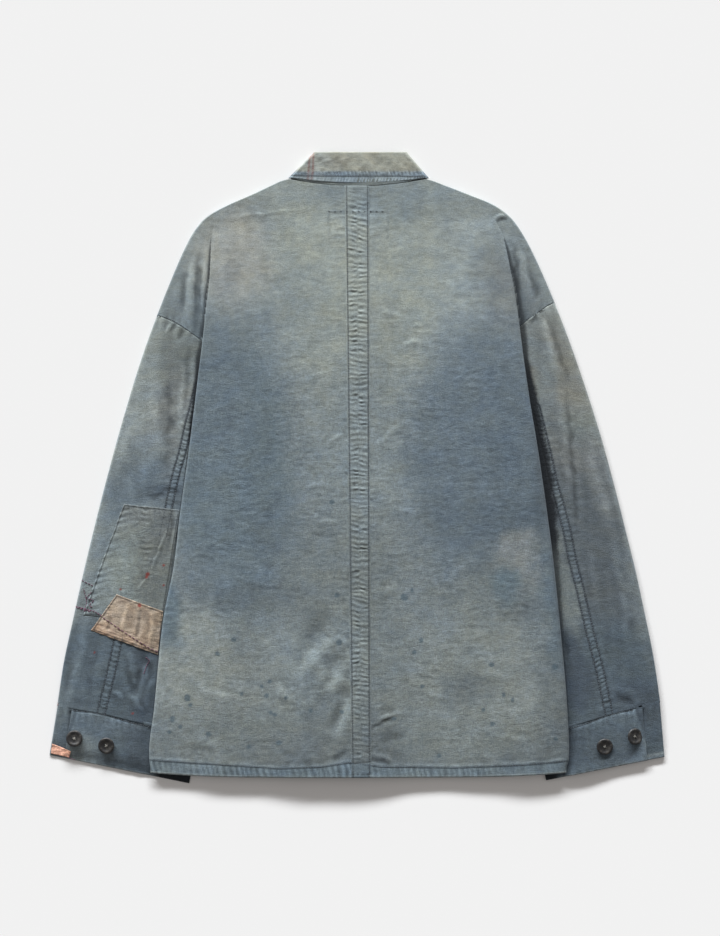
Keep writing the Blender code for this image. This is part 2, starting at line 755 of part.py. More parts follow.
def build_fall(collection):
    """Folded collar leaf: its top turns over the roll towards the stand."""
    side_low = {side: (FALL_HALF[side], FALL_SIDE_Y) for side in (LEFT, RIGHT)}
    stations = collar_ring(0.0, FALL_Y, side_low, point_edge, ROLL_Y - HALF - LEAF_GAP / 2)
    rows = []
    for t in (0.0, 0.35, 0.7, 1.0):
        rows.append([tuple(lerp(a, b, t) for a, b in zip(foot, head))
                     for foot, head in stations])
    bend = LEAF_GAP / 2
    count = len(stations)
    for angle in (60, 120, 180):
        rise = bend * math.sin(math.radians(angle))
        inward = bend * (1 - math.cos(math.radians(angle)))
        row = []
        for k, (_, head) in enumerate(stations):
            before = stations[max(k - 1, 0)][1]
            after = stations[min(k + 1, count - 1)][1]
            along = Vector((after[0] - before[0], 0.0, after[2] - before[2]))
            inner = Vector((along.z, 0.0, -along.x)).normalized()
            row.append((head[0] + inner.x * inward, head[1] + rise, head[2] + inner.z * inward))
        rows.append(row)
    return cloth("collar_fall", rows, collection, "sage")


def build_stand(collection):
    """Neck band inside the fall, from the neck seam up to the roll."""
    side_low = {side: (STAND_HALF[side] + LEAF_GAP, STAND_SIDE_Y) for side in (LEFT, RIGHT)}
    stations = collar_ring(LEAF_GAP, STAND_Y, side_low, neck_edge,
                           ROLL_Y - HALF - LEAF_GAP / 2 - 3 * SEAM)
    rows = [[tuple(lerp(a, b, t) for a, b in zip(foot, head)) for foot, head in stations]
            for t in (0.0, 0.5, 1.0)]
    return cloth("collar_stand", rows, collection, "denim")


# Patches -------------------------------------------------------------------

def shape_under(item):
    """Tree of an object's middle surface, for laying a patch on it."""
    bm = bmesh.new()
    bm.from_mesh(item.data)
    tree = BVHTree.FromBMesh(bm)
    bm.free()
    return tree


def level_under(beneath, x, y, spread):
    """Highest face of the pieces beneath a point and just around it."""
    levels = []
    for tree, wall in beneath:
        for dx, dy in ((0, 0), (spread, 0), (-spread, 0), (0, spread), (0, -spread)):
            hit = tree.ray_cast(to_world(x + dx, y + dy, 50.0), Vector((0.0, 0.0, -1.0)))[0]
            if hit is not None:
                levels.append(hit.z / MM + wall / 2)
    return max(levels)


def patch_grid(corners, beneath, across, along, spread=1.0, gap=SEAM):
    """Points of a four-cornered patch, lifted from the pieces that it is sewn on."""
    (ax, ay), (bx, by), (cx, cy), (dx, dy) = corners
    lift = gap + PATCH_CLOTH / 2
    rows = []
    for i in range(along + 1):
        v = i / along
        row = []
        for j in range(across + 1):
            u = j / across
            x = lerp(lerp(ax, bx, u), lerp(dx, cx, u), v)
            y = lerp(lerp(ay, by, u), lerp(dy, cy, u), v)
            x = min(x, -fold(LEFT, y) - PATCH_CLEAR)
            row.append((x, y, level_under(beneath, x, y, spread) + lift))
        rows.append(row)
    return rows


def build_patch(name, grid, collection, colour):
    return cloth(name, grid, collection, colour, wall=PATCH_CLOTH, flip=True)


def build_patches(sleeve, cuff, collection):
    """The beige patch lies half on the elbow patch and half on the sleeve below it."""
    on_sleeve = [(shape_under(sleeve), CLOTH)]
    grid = patch_grid(ELBOW_PATCH, on_sleeve, 6, 8, gap=PATCH_GAP)
    for k, row in enumerate(grid):
        bow = PATCH_BOW * math.sin(math.pi * k / (len(grid) - 1))
        row[0] = (row[0][0] - bow, row[0][1], row[0][2])
    elbow = build_patch("elbow_patch", grid, collection, "pale")
    on_both = on_sleeve + [(shape_under(elbow), PATCH_CLOTH)]
    grid = patch_grid(BEIGE_PATCH, on_both, 8, 7, spread=BEIGE_SPREAD, gap=PATCH_GAP)
    build_patch("beige_patch", grid, collection, "beige")
    on_cuff = [(shape_under(cuff), CUFF_CLOTH)]
    grid = patch_grid(SALMON_PATCH, on_cuff, 5, 2, spread=SALMON_SPREAD)
    build_patch("salmon_patch", grid, collection, "salmon")


# Buttons -------------------------------------------------------------------

def button_mesh():
    """Four-hole button with a raised rim, turned about Z, its back at z = 0."""
    profile = (
        (0.0, 1.9), (5.6, 1.9), (6.9, 2.6), (8.2, BUTTON_THICK),
        (9.3, 2.3), (BUTTON_RADIUS, 1.3), (9.2, 0.4), (7.5, 0.0), (0.0, 0.0),
    )
    outline = bpy.data.meshes.new("button_profile")
    points = [(r * MM, 0.0, z * MM) for r, z in profile]
    outline.from_pydata(points, [(k, k + 1) for k in range(len(points) - 1)], [])
    blank = bpy.data.objects.new("button_blank", outline)
    bpy.context.scene.collection.objects.link(blank)
    screw = blank.modifiers.new("Turn", "SCREW")
    screw.steps = BUTTON_STEPS
    screw.render_steps = BUTTON_STEPS
    screw.use_merge_vertices = True
    screw.merge_threshold = 0.00005
    holes = bmesh.new()
    for k in range(4):
        angle = math.radians(45 + 90 * k)
        centre = Vector((math.cos(angle), math.sin(angle), 0.0)) * BUTTON_HOLE_OUT * MM
        made = bmesh.ops.create_cone(holes, cap_ends=True, segments=6, depth=10 * MM,
                                     radius1=BUTTON_HOLE * MM, radius2=BUTTON_HOLE * MM)
        bmesh.ops.translate(holes, verts=made["verts"], vec=centre)
    hole_mesh = bpy.data.meshes.new("button_holes")
    holes.to_mesh(hole_mesh)
    holes.free()
    cutter = bpy.data.objects.new("button_holes", hole_mesh)
    cutter.hide_render = True
    cutter.display_type = "WIRE"
    bpy.context.scene.collection.objects.link(cutter)
    drill = blank.modifiers.new("Holes", "BOOLEAN")
    drill.operation = "DIFFERENCE"
    drill.object = cutter
    bpy.context.view_layer.update()
    shape = blank.evaluated_get(bpy.context.evaluated_depsgraph_get())
    mesh = bpy.data.meshes.new_from_object(shape)
    bpy.data.objects.remove(blank, do_unlink=True)
    bpy.data.objects.remove(cutter, do_unlink=True)
    return mesh


def build_buttons(collection):
    master = button_mesh()
    level = CUFF_TOP + CUFF_CLOTH / 2 + SEAM
    for name, (x, y) in CUFF_BUTTONS.items():
        item = add_object(name, master.copy(), collection, "button")
        item.location = to_world(x, y, level)
    for number, height in enumerate(BUTTON_HEIGHTS, start=1):
        item = add_object(f"front_button_{number}", master.copy(), collection, "button")
        item.location = to_world(0.0, height, BUTTON_THICK)
        item.rotation_euler = (math.pi, 0.0, 0.0)


def build_jacket():
    clear_scene()
    collection = bpy.data.collections.new("patched_boro_jacket")
    bpy.context.scene.collection.children.link(collection)
    made = {}
    for side in (LEFT, RIGHT):
        build_back(side, collection)
        build_front(side, collection)
        made[side] = (build_sleeve(side, collection), build_cuff(side, collection))
    build_strap(collection)
    build_fall(collection)
    build_stand(collection)
    build_patches(*made[LEFT], collection)
    build_buttons(collection)


build_jacket()
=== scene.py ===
"""Looks of the patched boro jacket, lying on its front with its back upwards.

Tables and functions work in millimetres: X across, Y up from the hem line, Z up from the
surface. A cloth piece is a cage of points on its solid's form, refined to a fine grid and
wrinkled by relief functions. Its colours are worked out at each point from short tables of
dyed and faded areas, with painted shade beside the side folds, on their rounded edges and in
the relief's hollows, and painted highlight on its ridges; weave, slubs and grain come from
its material.
"""
import math
from collections import namedtuple

import bpy
import bmesh
import numpy as np
from mathutils import Matrix, Vector
from mathutils.bvhtree import BVHTree


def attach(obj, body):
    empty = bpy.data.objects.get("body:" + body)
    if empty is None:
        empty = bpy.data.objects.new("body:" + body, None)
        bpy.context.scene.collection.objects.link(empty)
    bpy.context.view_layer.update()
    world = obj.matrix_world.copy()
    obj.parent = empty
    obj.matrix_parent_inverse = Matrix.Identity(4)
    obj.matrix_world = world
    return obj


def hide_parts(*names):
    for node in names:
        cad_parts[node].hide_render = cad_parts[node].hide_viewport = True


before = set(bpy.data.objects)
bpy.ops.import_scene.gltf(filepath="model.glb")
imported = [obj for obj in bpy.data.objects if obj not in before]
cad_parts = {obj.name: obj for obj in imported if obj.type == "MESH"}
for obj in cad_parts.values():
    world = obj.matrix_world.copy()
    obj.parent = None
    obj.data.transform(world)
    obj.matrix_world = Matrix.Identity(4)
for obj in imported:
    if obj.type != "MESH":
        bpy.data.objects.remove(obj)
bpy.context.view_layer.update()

MM = 0.001
LEFT = -1
RIGHT = 1
SIDES = (LEFT, RIGHT)
NAMES = {LEFT: "left", RIGHT: "right"}
MIDDLE_Y = 371.05         # height of the jacket's middle above its hem line
LOWEST = 0.05             # lowest height given to a turned edge or a displaced point
NO_SEAM = 20.0            # distance that means that no seam is near

# Walls and levels, as in the solids
CLOTH = 1.2
CUFF_CLOTH = 1.8
SEAM = 0.35
HALF = CLOTH / 2
TABLE = HALF
EDGE = 5.0
QUARTER = 5.0
CENTRE = 7.2
FOLD_TOP = 10.3
NECK_BACK = 5.7
NECK_FRONT = 2.5
OUTER_PLACKET = 3.7
INNER_PLACKET = 5.3

Reach = namedtuple("Reach", "height left right")
OUTLINE = (
    Reach(31, 363.4, 363.4),
    Reach(100, 353.5, 357.0),
    Reach(215, 330.4, 336.5),
    Reach(310, 308.0, 314.0),
    Reach(404, 283.2, 289.1),
    Reach(500, 254.5, 258.0),
    Reach(550, 236.5, 239.5),
    Reach(604, 214.8, 217.1),
    Reach(640, 198.2, 199.4),
    Reach(663, 181.7, 184.1),
    Reach(675, 164.0, 171.1),
    Reach(687, 138.1, 147.5),
    Reach(698.6, 110.9, 115.6),
    Reach(709.3, 88.0, 88.5),
    Reach(711.5, 78.0, 79.5),
)
FOLD = (
    Reach(12, 244.0, 247.0),
    Reach(33, 245.5, 250.3),
    Reach(87, 239.5, 248.0),
    Reach(190, 229.0, 239.0),
    Reach(257, 216.0, 232.0),
    Reach(310, 209.8, 225.3),
    Reach(385, 199.4, 214.5),
    Reach(468, 188.8, 201.0),
    Reach(550, 179.0, 190.0),
    Reach(580, 176.2, 186.4),
    Reach(605, 173.2, 180.6),
    Reach(648, 171.5, 170.8),
    Reach(665, 158.0, 160.0),
    Reach(680, 131.0, 137.0),
    Reach(693, 96.0, 100.0),
    Reach(703, 52.0, 56.0),
)
# How far the soft side folds puff up above their solids
PUFF = (
    Reach(0, 0.5, 1.0),
    Reach(110, 0.8, 2.0),
    Reach(250, 1.0, 3.5),
    Reach(390, 1.5, 5.0),
    Reach(480, 1.8, 4.5),
    Reach(560, 2.0, 2.5),
    Reach(640, 1.5, 1.0),
    Reach(690, 0.2, 0.2),
)
ARMPIT = 468.0
SLEEVE_INNER = (Reach(0, 197.0, 222.0), Reach(ARMPIT, 132.0, 133.0))
SHOULDER_TIP = {LEFT: 550.0, RIGHT: 565.0}
ARMHOLE_BOW = 12.0

Layer = namedtuple("Layer", "height under sleeve")
LAYERS = (
    Layer(0, 5.5, 4.0),
    Layer(360, 5.5, 4.0),
    Layer(415, 6.3, 4.6),
    Layer(455, 6.9, 5.0),
    Layer(ARMPIT, 7.65, 5.0),
    Layer(720, 7.65, 5.0),
)
HEM_ROW = 6.2
HEM_RISE = 6.0
NEXT_ROW = 27.0
ROW_STEP = 12.0

Upper = namedtuple("Upper", "inner outer turn drop bow")
UPPER_ROWS = (
    Upper(ARMPIT, None, 180, 5.3, ARMHOLE_BOW),
    Upper(505, 570, 180, 5.3, 6),
    Upper(550, 590, 180, 5.3, 2),
    Upper(600, 617, 180, 5.3, 0),
    Upper(636, 640, 165, 5.1, 0),
    Upper(651, 651, 105, 4.0, 0),
    Upper(665, 665, 55, 2.4, 0),
    Upper(680, 680, 30, 1.0, 0),
    Upper(692, 692, 20, 0.5, 0),
    Upper(698, 703.5, 20, 0.4, 0),
    Upper(701.5, 709.0, 20, 0.3, 0),
    Upper(703, 710.6, 20, 0.3, 0),
)
ARMHOLE_STEPS = (1.0, 0.8, 0.6, 0.4, 0.2, 0.0)
TURNED_UNDER = 8.0
NECK_TURN = 2.5
SIDE_TURN = 14.0
CLIMB_FROM = 85.0
CLIMB = 80.0
RAMP = 18.0
CREASE_IN = 4.5
NECK_START = 695.0

Fade = namedtuple("Fade", "start width")
OVER_PLACKET = Fade(25.0, 55.0)
FOLD_SINKS = Fade(530.0, 150.0)
NECK_RISES = Fade(640.0, 50.0)
EDGE_RISES = Fade(660.0, 32.0)
NECK_LIFTS = Fade(696.0, 10.0)
TURN_NARROWS = Fade(695.0, 14.0)
LEAN_DIES = Fade(0.0, 120.0)
PLACKET_SINKS = Fade(610.0, 16.0)
PLACKET_EASES = Fade(20.0, 40.0)
COLLAR_UNDER = Fade(580.0, 16.0)
COLLAR_PAST = Fade(92.0, 14.0)

STRAP_TOP = 26.5
STRAP_HEM = 21.0
STRAP_OVER = 1.3          # added to the half width of the strap
STRAP_STITCH = 2.2        # its stitches run this far inside the sum of both
CENTRE_DRIFT = 5.0        # the centre line's x at the hem; it is 0 at the neck
BACK_NECK = 703.0

PLACKET = 15.0
PLACKET_STITCH = 13.0
FRONT_NECK = 628.0
NECK_TOP = 711.0
NECK_HALF = 70.0
FRONT_SHORTER = 2.5
FRONT_COLUMNS = (0.0, 20.0, 42.0, 60.0)
NECK_COLUMNS = (0.0, 0.1, 0.2, 0.3, 0.4)
BUTTON_HEIGHTS = (50.0, 187.0, 324.0, 461.0, 598.0)

ROLL_HALF = {LEFT: 52.0, RIGHT: 60.0}
FALL_HALF = {LEFT: 81.4, RIGHT: 85.0}
ROLL_Y = 743.4
FALL_Y = 706.5
FALL_SIDE_Y = 712.2
LEAF_HIGH = 7.6
LEAF_GAP = 1.9
STAND_HALF = {LEFT: 78.0, RIGHT: 79.5}
STAND_SIDE_Y = 711.0
STAND_Y = 703.45
FRONT_ROLL_Y = 655.0
POINT_X = 48.0
POINT_Y = 598.0
POINT_GAP = 6.0

Cuff = namedtuple("Cuff", "outer_top inner_top outer_low inner_low lap")
CUFFS = {
    LEFT: Cuff((354.0, 90.0), (186.8, 55.5), (363.4, 32.5), (197.0, -1.2), 0.11),
    RIGHT: Cuff((358.0, 94.5), (211.8, 54.5), (363.4, 30.5), (221.8, 2.6), 0.15),
}
CUFF_TOP = 5.3
CUFF_UNDERLAP = 3.1
CUFF_HIDDEN = 3.3
CUFF_LOW = CUFF_CLOTH / 2

BUTTON_RADIUS = 9.7
BUTTON_THICK = 2.8
CUFF_BUTTONS = {
    "cuff_button_left_outer": (-332.8, 52.0),
    "cuff_button_left_inner": (-295.0, 43.7),
    "cuff_button_right_inner": (291.5, 42.5),
    "cuff_button_right_outer": (326.9, 54.3),
}
ELBOW_PATCH = ((-274.0, 328.0), (-209.0, 321.0), (-228.0, 193.0), (-322.0, 197.0))
BEIGE_PATCH = ((-283.2, 221.3), (-228.6, 201.8), (-232.0, 149.9), (-313.2, 179.4))
SALMON_PATCH = ((-359.0, 45.5), (-337.5, 36.6), (-339.9, 29.5), (-361.0, 34.0))


# Helpers -------------------------------------------------------------------

def lerp(a, b, t):
    return a + (b - a) * t


def ease(t):
    """Smooth step from 0 to 1, on numbers and arrays."""
    t = np.clip(t, 0.0, 1.0)
    return t * t * (3 - 2 * t)


def bell(place):
    """1 at 0, falling softly to nearly 0 at 2 each way."""
    return np.exp(-place ** 2)


def fade(place, change):
    """Share of a soft change that is done at a place."""
    return ease((place - change.start) / change.width)


def pchip(values, knots, places):
    """Smooth curve without overshoot through values at their knots."""
    shape = (-1,) + (1,) * (values.ndim - 1)
    step = np.diff(knots).reshape(shape)
    slope = np.diff(values, axis=0) / step
    before = slope[:-1]
    after = slope[1:]
    weight_a = 2 * step[1:] + step[:-1]
    weight_b = step[1:] + 2 * step[:-1]
    same = before * after > 0
    safe_a = np.where(same, before, 1.0)
    safe_b = np.where(same, after, 1.0)
    inner = (weight_a + weight_b) / (weight_a / safe_a + weight_b / safe_b)
    tangent = np.concatenate([slope[:1], np.where(same, inner, 0.0), slope[-1:]])
    i = np.clip(np.searchsorted(knots, places, side="right") - 1, 0, len(knots) - 2)
    h = step[i]
    t = ((places - knots[i]).reshape(shape)) / h
    return ((2 * t**3 - 3 * t**2 + 1) * values[i] + (t**3 - 2 * t**2 + t) * h * tangent[i]
            + (3 * t**2 - 2 * t**3) * values[i + 1] + (t**3 - t**2) * h * tangent[i + 1])


def table(rows, column, height):
    """A named column of a table, smoothly between its rows."""
    heights = np.array([row.height for row in rows], float)
    values = np.array([getattr(row, column) for row in rows], float)
    place = np.clip(np.asarray(height, float), heights[0], heights[-1])
    return pchip(values, heights, place.ravel()).reshape(place.shape)


def noise(x, y, seed):
    """Smooth gradient noise, one bump for each unit, about -0.7 to 0.7."""
    x = np.asarray(x, float)
    y = np.asarray(y, float)
    column = np.floor(x).astype(np.int64)
    row = np.floor(y).astype(np.int64)
    fx = x - column
    fy = y - row

    def corner(i, j):
        code = ((column + i) * 374761393 + (row + j) * 668265263 + seed * 974634777) & 0xFFFFFFFF
        code = ((code ^ (code >> 13)) * 1274126177) & 0xFFFFFFFF
        angle = (code ^ (code >> 16)) * (2 * math.pi / 0xFFFFFFFF)
        return np.cos(angle) * (fx - i) + np.sin(angle) * (fy - j)

    u = ease(fx)
    v = ease(fy)
    low = lerp(corner(0, 0), corner(1, 0), u)
    high = lerp(corner(0, 1), corner(1, 1), u)
    return lerp(low, high, v)


def ridged(x, y, seed):
    """Noise with thin crests at 1 and broad hollows below."""
    return 1 - 2.4 * np.abs(noise(x, y, seed))


def rungs(s, period, seed):
    """Uneven bars along a length, one for each period, from -1 to 1."""
    wander = 0.55 * noise(s / (3.1 * period), 0.37, seed) + 0.25 * noise(s / period, 0.61, seed + 1)
    size = 0.8 + 0.7 * noise(s / (1.7 * period), 0.43, seed + 2)
    return size * np.cos(2 * math.pi * (s / period + 1.3 * wander))


def refine(cage, row_step, column_steps):
    """Dense grid through a cage of points, with a step for the rows and for each column span."""
    cage = np.asarray(cage, float)
    cage = resample_columns(cage, np.broadcast_to(column_steps, cage.shape[1] - 1))
    spans = np.linalg.norm(np.diff(cage, axis=0), axis=2).mean(axis=1)
    return resample(cage, spans, np.full(spans.shape, row_step))


def resample_columns(cage, steps):
    spans = np.linalg.norm(np.diff(cage, axis=1), axis=2).mean(axis=0)
    return resample(cage.swapaxes(0, 1), spans, steps).swapaxes(0, 1)


def resample(rows, spans, steps):
    """Rows on smooth curves through the given ones, each span cut by its own step."""
    knots = np.concatenate([[0.0], np.cumsum(np.maximum(spans, 0.01))])
    places = []
    for k, (span, step) in enumerate(zip(spans, steps)):
        count = max(1, math.ceil(span / step))
        places += [lerp(knots[k], knots[k + 1], n / count) for n in range(count)]
    places.append(knots[-1])
    return pchip(rows, knots, np.array(places))


def normals(grid):
    """Unit normals of a grid of points."""
    along = np.gradient(grid, axis=0)
    across = np.gradient(grid, axis=1)
    n = np.cross(across, along)
    return n / np.maximum(np.linalg.norm(n, axis=2, keepdims=True), 1e-9)


TURNED_IN = 2.5           # a turned edge goes this far back under


def turned_edge(grid, depth):
    """Add rows before the first one that turn the edge under, for a visible thickness."""
    first = grid[0]
    into = (grid[1] - first)[:, :3]
    into = into / np.maximum(np.linalg.norm(into, axis=1, keepdims=True), 1e-9)
    rows = []
    for share, drop in ((TURNED_IN, depth), (0.2, depth), (-0.35 * depth, 0.55 * depth)):
        row = first.copy()
        row[:, :3] += into * share
        row[:, 2] = np.maximum(row[:, 2] - drop, LOWEST)
        rows.append(row)
    return np.concatenate([np.stack(rows), grid])


def hemmed(grid, sides, depth):
    """Turn edges under on the sides named: low or high rows, first or last columns."""
    if "low" in sides:
        grid = turned_edge(grid, depth)
    if "high" in sides:
        grid = turned_edge(grid[::-1], depth)[::-1]
    if "first" in sides:
        grid = turned_edge(grid.swapaxes(0, 1), depth).swapaxes(0, 1)
    if "last" in sides:
        grid = turned_edge(grid.swapaxes(0, 1)[::-1], depth)[::-1].swapaxes(0, 1)
    return grid


# Cages, on the solids' forms -----------------------------------------------

def hem_curve(height, out):
    near = np.clip((NEXT_ROW - height) / (NEXT_ROW - HEM_ROW), 0.0, 1.0)
    return height + HEM_RISE * (out / 245.0) ** 4 * near


def reach(side, height):
    return float(table(OUTLINE, NAMES[side], height))


def fold(side, height):
    return float(table(FOLD, NAMES[side], height))


def puff(side, height):
    return float(table(PUFF, NAMES[side], height))


def sleeve_inner(side, height):
    low, high = (getattr(row, NAMES[side]) for row in SLEEVE_INNER)
    return lerp(low, high, np.clip(height / ARMPIT, 0.0, 1.0))


def centre_x(height):
    return CENTRE_DRIFT * (1 - height / BACK_NECK)


def side_seam(side, height):
    low = fold(side, height) - SIDE_TURN
    return lerp(low, sleeve_inner(side, ARMPIT), (height / ARMPIT) ** 2.2)


def armhole(side, step):
    out = lerp(reach(side, SHOULDER_TIP[side]) - HALF - 2.2, sleeve_inner(side, ARMPIT), step)
    height = lerp(SHOULDER_TIP[side], ARMPIT, step) + ARMHOLE_BOW * 4 * step * (1 - step)
    return out, height


def turn(points, start, angle_from, angle_to, radius, steps):
    """Carry a section on round an arc. Angle 0 heads outwards and 180 back inwards."""
    right_hand = 1 if angle_to > angle_from else -1

    def normal(angle):
        return (-math.sin(math.radians(angle)), -math.cos(math.radians(angle)))

    n = normal(angle_from)
    centre = (start[0] + right_hand * radius * n[0], start[1] + right_hand * radius * n[1])
    for k in range(1, steps + 1):
        n = normal(lerp(angle_from, angle_to, k / steps))
        points.append((centre[0] - right_hand * radius * n[0],
                       centre[1] - right_hand * radius * n[1]))
    return points[-1]


def strap_half(height):
    return lerp(STRAP_HEM, STRAP_TOP, height / BACK_NECK) / 2


def crease(side, height):
    top = NECK_RISES.start
    t = ease((height - ARMPIT) / (top - ARMPIT))
    return lerp(sleeve_inner(side, ARMPIT), fold(side, top) - CREASE_IN, t)


def folded_from(side, height):
    return sleeve_inner(side, height) if height < ARMPIT else crease(side, height)


def crest(side, height):
    """How far the side fold's top stands over the shoulder's level."""
    return (FOLD_TOP - EDGE + puff(side, height)) * (1 - fade(height, FOLD_SINKS))


def back_level(side, out, height):
    """Height of the back's middle surface, without its side fold."""
    over_placket = (CENTRE - QUARTER) * (1 - fade(out, OVER_PLACKET))
    climb = ease((out - (folded_from(side, height) - CLIMB_FROM)) / CLIMB)
    top = lerp(EDGE, NECK_BACK, fade(height, FOLD_SINKS)) + crest(side, height)
    level = QUARTER + over_placket + (top - QUARTER) * climb
    return float(lerp(level, NECK_BACK, fade(height, NECK_RISES)))


def main_stations(side, height, last):
    edge = min(folded_from(side, height), last - 8.0)
    strap = strap_half(height)
    foot = max(edge - CLIMB_FROM, last * 0.62)
    inner = (SEAM / 2, strap + 3.0, lerp(strap, foot, 0.36), lerp(strap, foot, 0.7), foot)
    climb = [lerp(foot, edge, t) for t in (0.33, 0.66, 1.0)]
    return (*inner, *climb, lerp(edge, last, 0.5), last)


def lower_section(side, height):
    under = float(table(LAYERS, "under", height))
    top = back_level(side, fold(side, height) - 4.0, height)
    radius = (top - under) / 2
    last = fold(side, height) - HALF - radius
    section = [(w, back_level(side, w, height)) for w in main_stations(side, height, last)]
    section[-1] = (last, top)
    end = turn(section, section[-1], 0, 180, radius, 6)
    seam = side_seam(side, height) + SEAM / 2
    section.append((lerp(end[0], seam, 0.5), under))
    section.append((seam, under))
    return [(w, hem_curve(height, w), z) for w, z in section]


def turned_under(height):
    return lerp(TURNED_UNDER, NECK_TURN, fade(height, TURN_NARROWS))


def shoulder_levels(inner, outer):
    return (lerp(EDGE, NECK_BACK, fade(inner, EDGE_RISES)),
            lerp(TABLE, NECK_FRONT, fade(outer, NECK_LIFTS)))


def upper_section(side, row):
    """Back above the armpit: across, the side fold, then out to the edge and under."""
    outer = row.outer or SHOULDER_TIP[side]
    edge, low_edge = shoulder_levels(row.inner, outer)
    share = 2 * (1 - math.cos(math.radians(row.turn)))
    drop = max(crest(side, row.inner), 0.15)
    radius = drop / share
    across = math.sin(math.radians(min(row.turn, 90))) * radius
    last = fold(side, row.inner) - HALF - across
    section = [(w, back_level(side, w, row.inner))
               for w in main_stations(side, row.inner, last)]
    section[-1] = (last, edge + drop)
    place = turn(section, section[-1], 0, row.turn, radius, 6)
    middle = max(place[0] - (crease(side, row.inner) + radius), 0.0) if row.turn == 180 else 0.0
    section.append((lerp(place[0], place[0] - middle, 0.5), place[1]))
    section.append((place[0] - middle, place[1]))
    if middle < 0.5:
        heading = math.radians(row.turn)
        for k in (1, 2):
            section[-3 + k] = (place[0] + 0.3 * k * math.cos(heading),
                               place[1] - 0.3 * k * math.sin(heading))
    place = turn(section, section[-1], row.turn, 0, radius, 4)
    rim = (edge - low_edge) / 2
    out = reach(side, outer) - HALF - rim
    rise = 0.0 if row.inner < NECK_START else outer - row.inner
    points = [(w, row.inner + rise * (w / out) ** 2, z) for w, z in section]
    start_y = points[-1][1]
    lobe = []
    for step in ARMHOLE_STEPS[1:]:
        t = 1 - step
        y = lerp(start_y, outer, t) + row.bow * 4 * t * (1 - t)
        lobe.append((lerp(place[0], out, t), y, lerp(place[1], edge, t)))
    arc = []
    turn(arc, (out, edge), 0, 180, rim, 5)
    arc.append((out - turned_under(outer), low_edge))
    return points + lobe + [(w, outer, z) for w, z in arc]


def placed(side, rows, lean=False):
    """Outward distances become X on a side, with the centre line's lean where asked."""
    grid = np.array(rows, float)
    shift = 0.0
    if lean:
        shift = centre_x(grid[..., 1]) * (1 - fade(grid[..., 0], LEAN_DIES))
    grid[..., 0] = side * grid[..., 0] + shift
    return grid


def front_level(out, height, ramp_end, placket):
    placket -= (OUTER_PLACKET - NECK_FRONT) * fade(height, PLACKET_SINKS)
    over_buttons = (placket - TABLE) * (1 - fade(out, PLACKET_EASES))
    over_collar = (NECK_FRONT - TABLE) * fade(height, COLLAR_UNDER)
    over_collar *= 1 - fade(out, COLLAR_PAST)
    level = TABLE + max(over_buttons, over_collar)
    if height < ARMPIT:
        under = float(table(LAYERS, "under", height))
        level += (under - TABLE) * ease((out - ramp_end + RAMP) / RAMP)
    return float(level)


def neckline(height):
    return NECK_HALF * max((height - FRONT_NECK) / (NECK_TOP - FRONT_NECK), 0.0) ** 0.55


def lower_heights():
    """Heights of the rows below the armpit."""
    count = round((ARMPIT - NEXT_ROW) / ROW_STEP)
    return [HEM_ROW, HEM_ROW + 7.0] + [lerp(NEXT_ROW, ARMPIT, k / count) for k in range(count)]


def front_rows(side, overlap, placket):
    rows = []
    for height in lower_heights():
        seam = side_seam(side, height) - SEAM / 2
        ramp_end = min(sleeve_inner(side, height), seam - 10.0) - 1.5
        ramp = [ramp_end - RAMP * share for share in (1.0, 0.67, 0.33, 0.0)]
        stations = (-overlap, *FRONT_COLUMNS, lerp(FRONT_COLUMNS[-1], ramp_end, 0.45),
                    *ramp, lerp(ramp_end, seam, 0.5), seam)
        shorter = FRONT_SHORTER * (height == HEM_ROW)
        rows.append([(w, hem_curve(height, w) + shorter,
                      front_level(w, height, ramp_end, placket)) for w in stations])
    ends = []
    for step in ARMHOLE_STEPS:
        out, height = armhole(side, step)
        ends.append((out - (TURNED_UNDER + SEAM) * (1 - step), height))
    for row in UPPER_ROWS[1:]:
        edge, low_edge = shoulder_levels(row.inner, row.outer)
        if row.outer > SHOULDER_TIP[side] + SEAM:
            rim = (edge - low_edge) / 2
            out = reach(side, row.outer) - HALF - rim - turned_under(row.outer)
            ends.append((out - SEAM, row.outer))
    for out, height in ends:
        start = neckline(height) if height > FRONT_NECK else -overlap
        fixed = (start, *FRONT_COLUMNS)
        if height > BUTTON_HEIGHTS[-1]:
            fixed = [lerp(start, out, share) for share in NECK_COLUMNS]
        rest = [lerp(fixed[-1], out, k / 7) for k in range(1, 8)]
        rows.append([(w, height, front_level(w, height, out, placket))
                     for w in (*fixed, *rest)])
    return rows


CORNER_CUT = 16.0
SLEEVE_STATIONS = (0.0, 0.15, 0.3, 0.45, 0.6, 0.75, 0.9, 1.0)


def sleeve_spine(side, t):
    cuff = CUFFS[side]
    outer_y = lerp(SHOULDER_TIP[side], cuff.outer_top[1], t)
    inner_y = lerp(ARMPIT, cuff.inner_top[1], t)
    outer = (lerp(reach(side, outer_y), cuff.outer_top[0], ease(t * 8 - 7)), outer_y)
    inner = (lerp(sleeve_inner(side, ARMPIT), cuff.inner_top[0], t), inner_y)
    return outer, inner


def sleeve_stations(side, t):
    outer, inner = sleeve_spine(side, t)
    first = outer[0] - HALF - (EDGE - TABLE) / 2
    hidden = float(table(LAYERS, "sleeve", inner[1]))
    last = inner[0] + HALF + (hidden - TABLE) / 2
    under = fold(side, lerp(outer[1], inner[1], 0.5)) - 3.0
    settled = ease(t / 0.2)
    shares = SLEEVE_STATIONS[:-1]
    stations = [(lerp(first, under, s / shares[-1]), EDGE) for s in shares[:-1]]
    stations += [(under, hidden), (last, hidden)]
    even = [(lerp(first, last, s), EDGE) for s in SLEEVE_STATIONS]
    return [(lerp(a, c, settled), lerp(b, d, settled))
            for (a, b), (c, d) in zip(even, stations)]


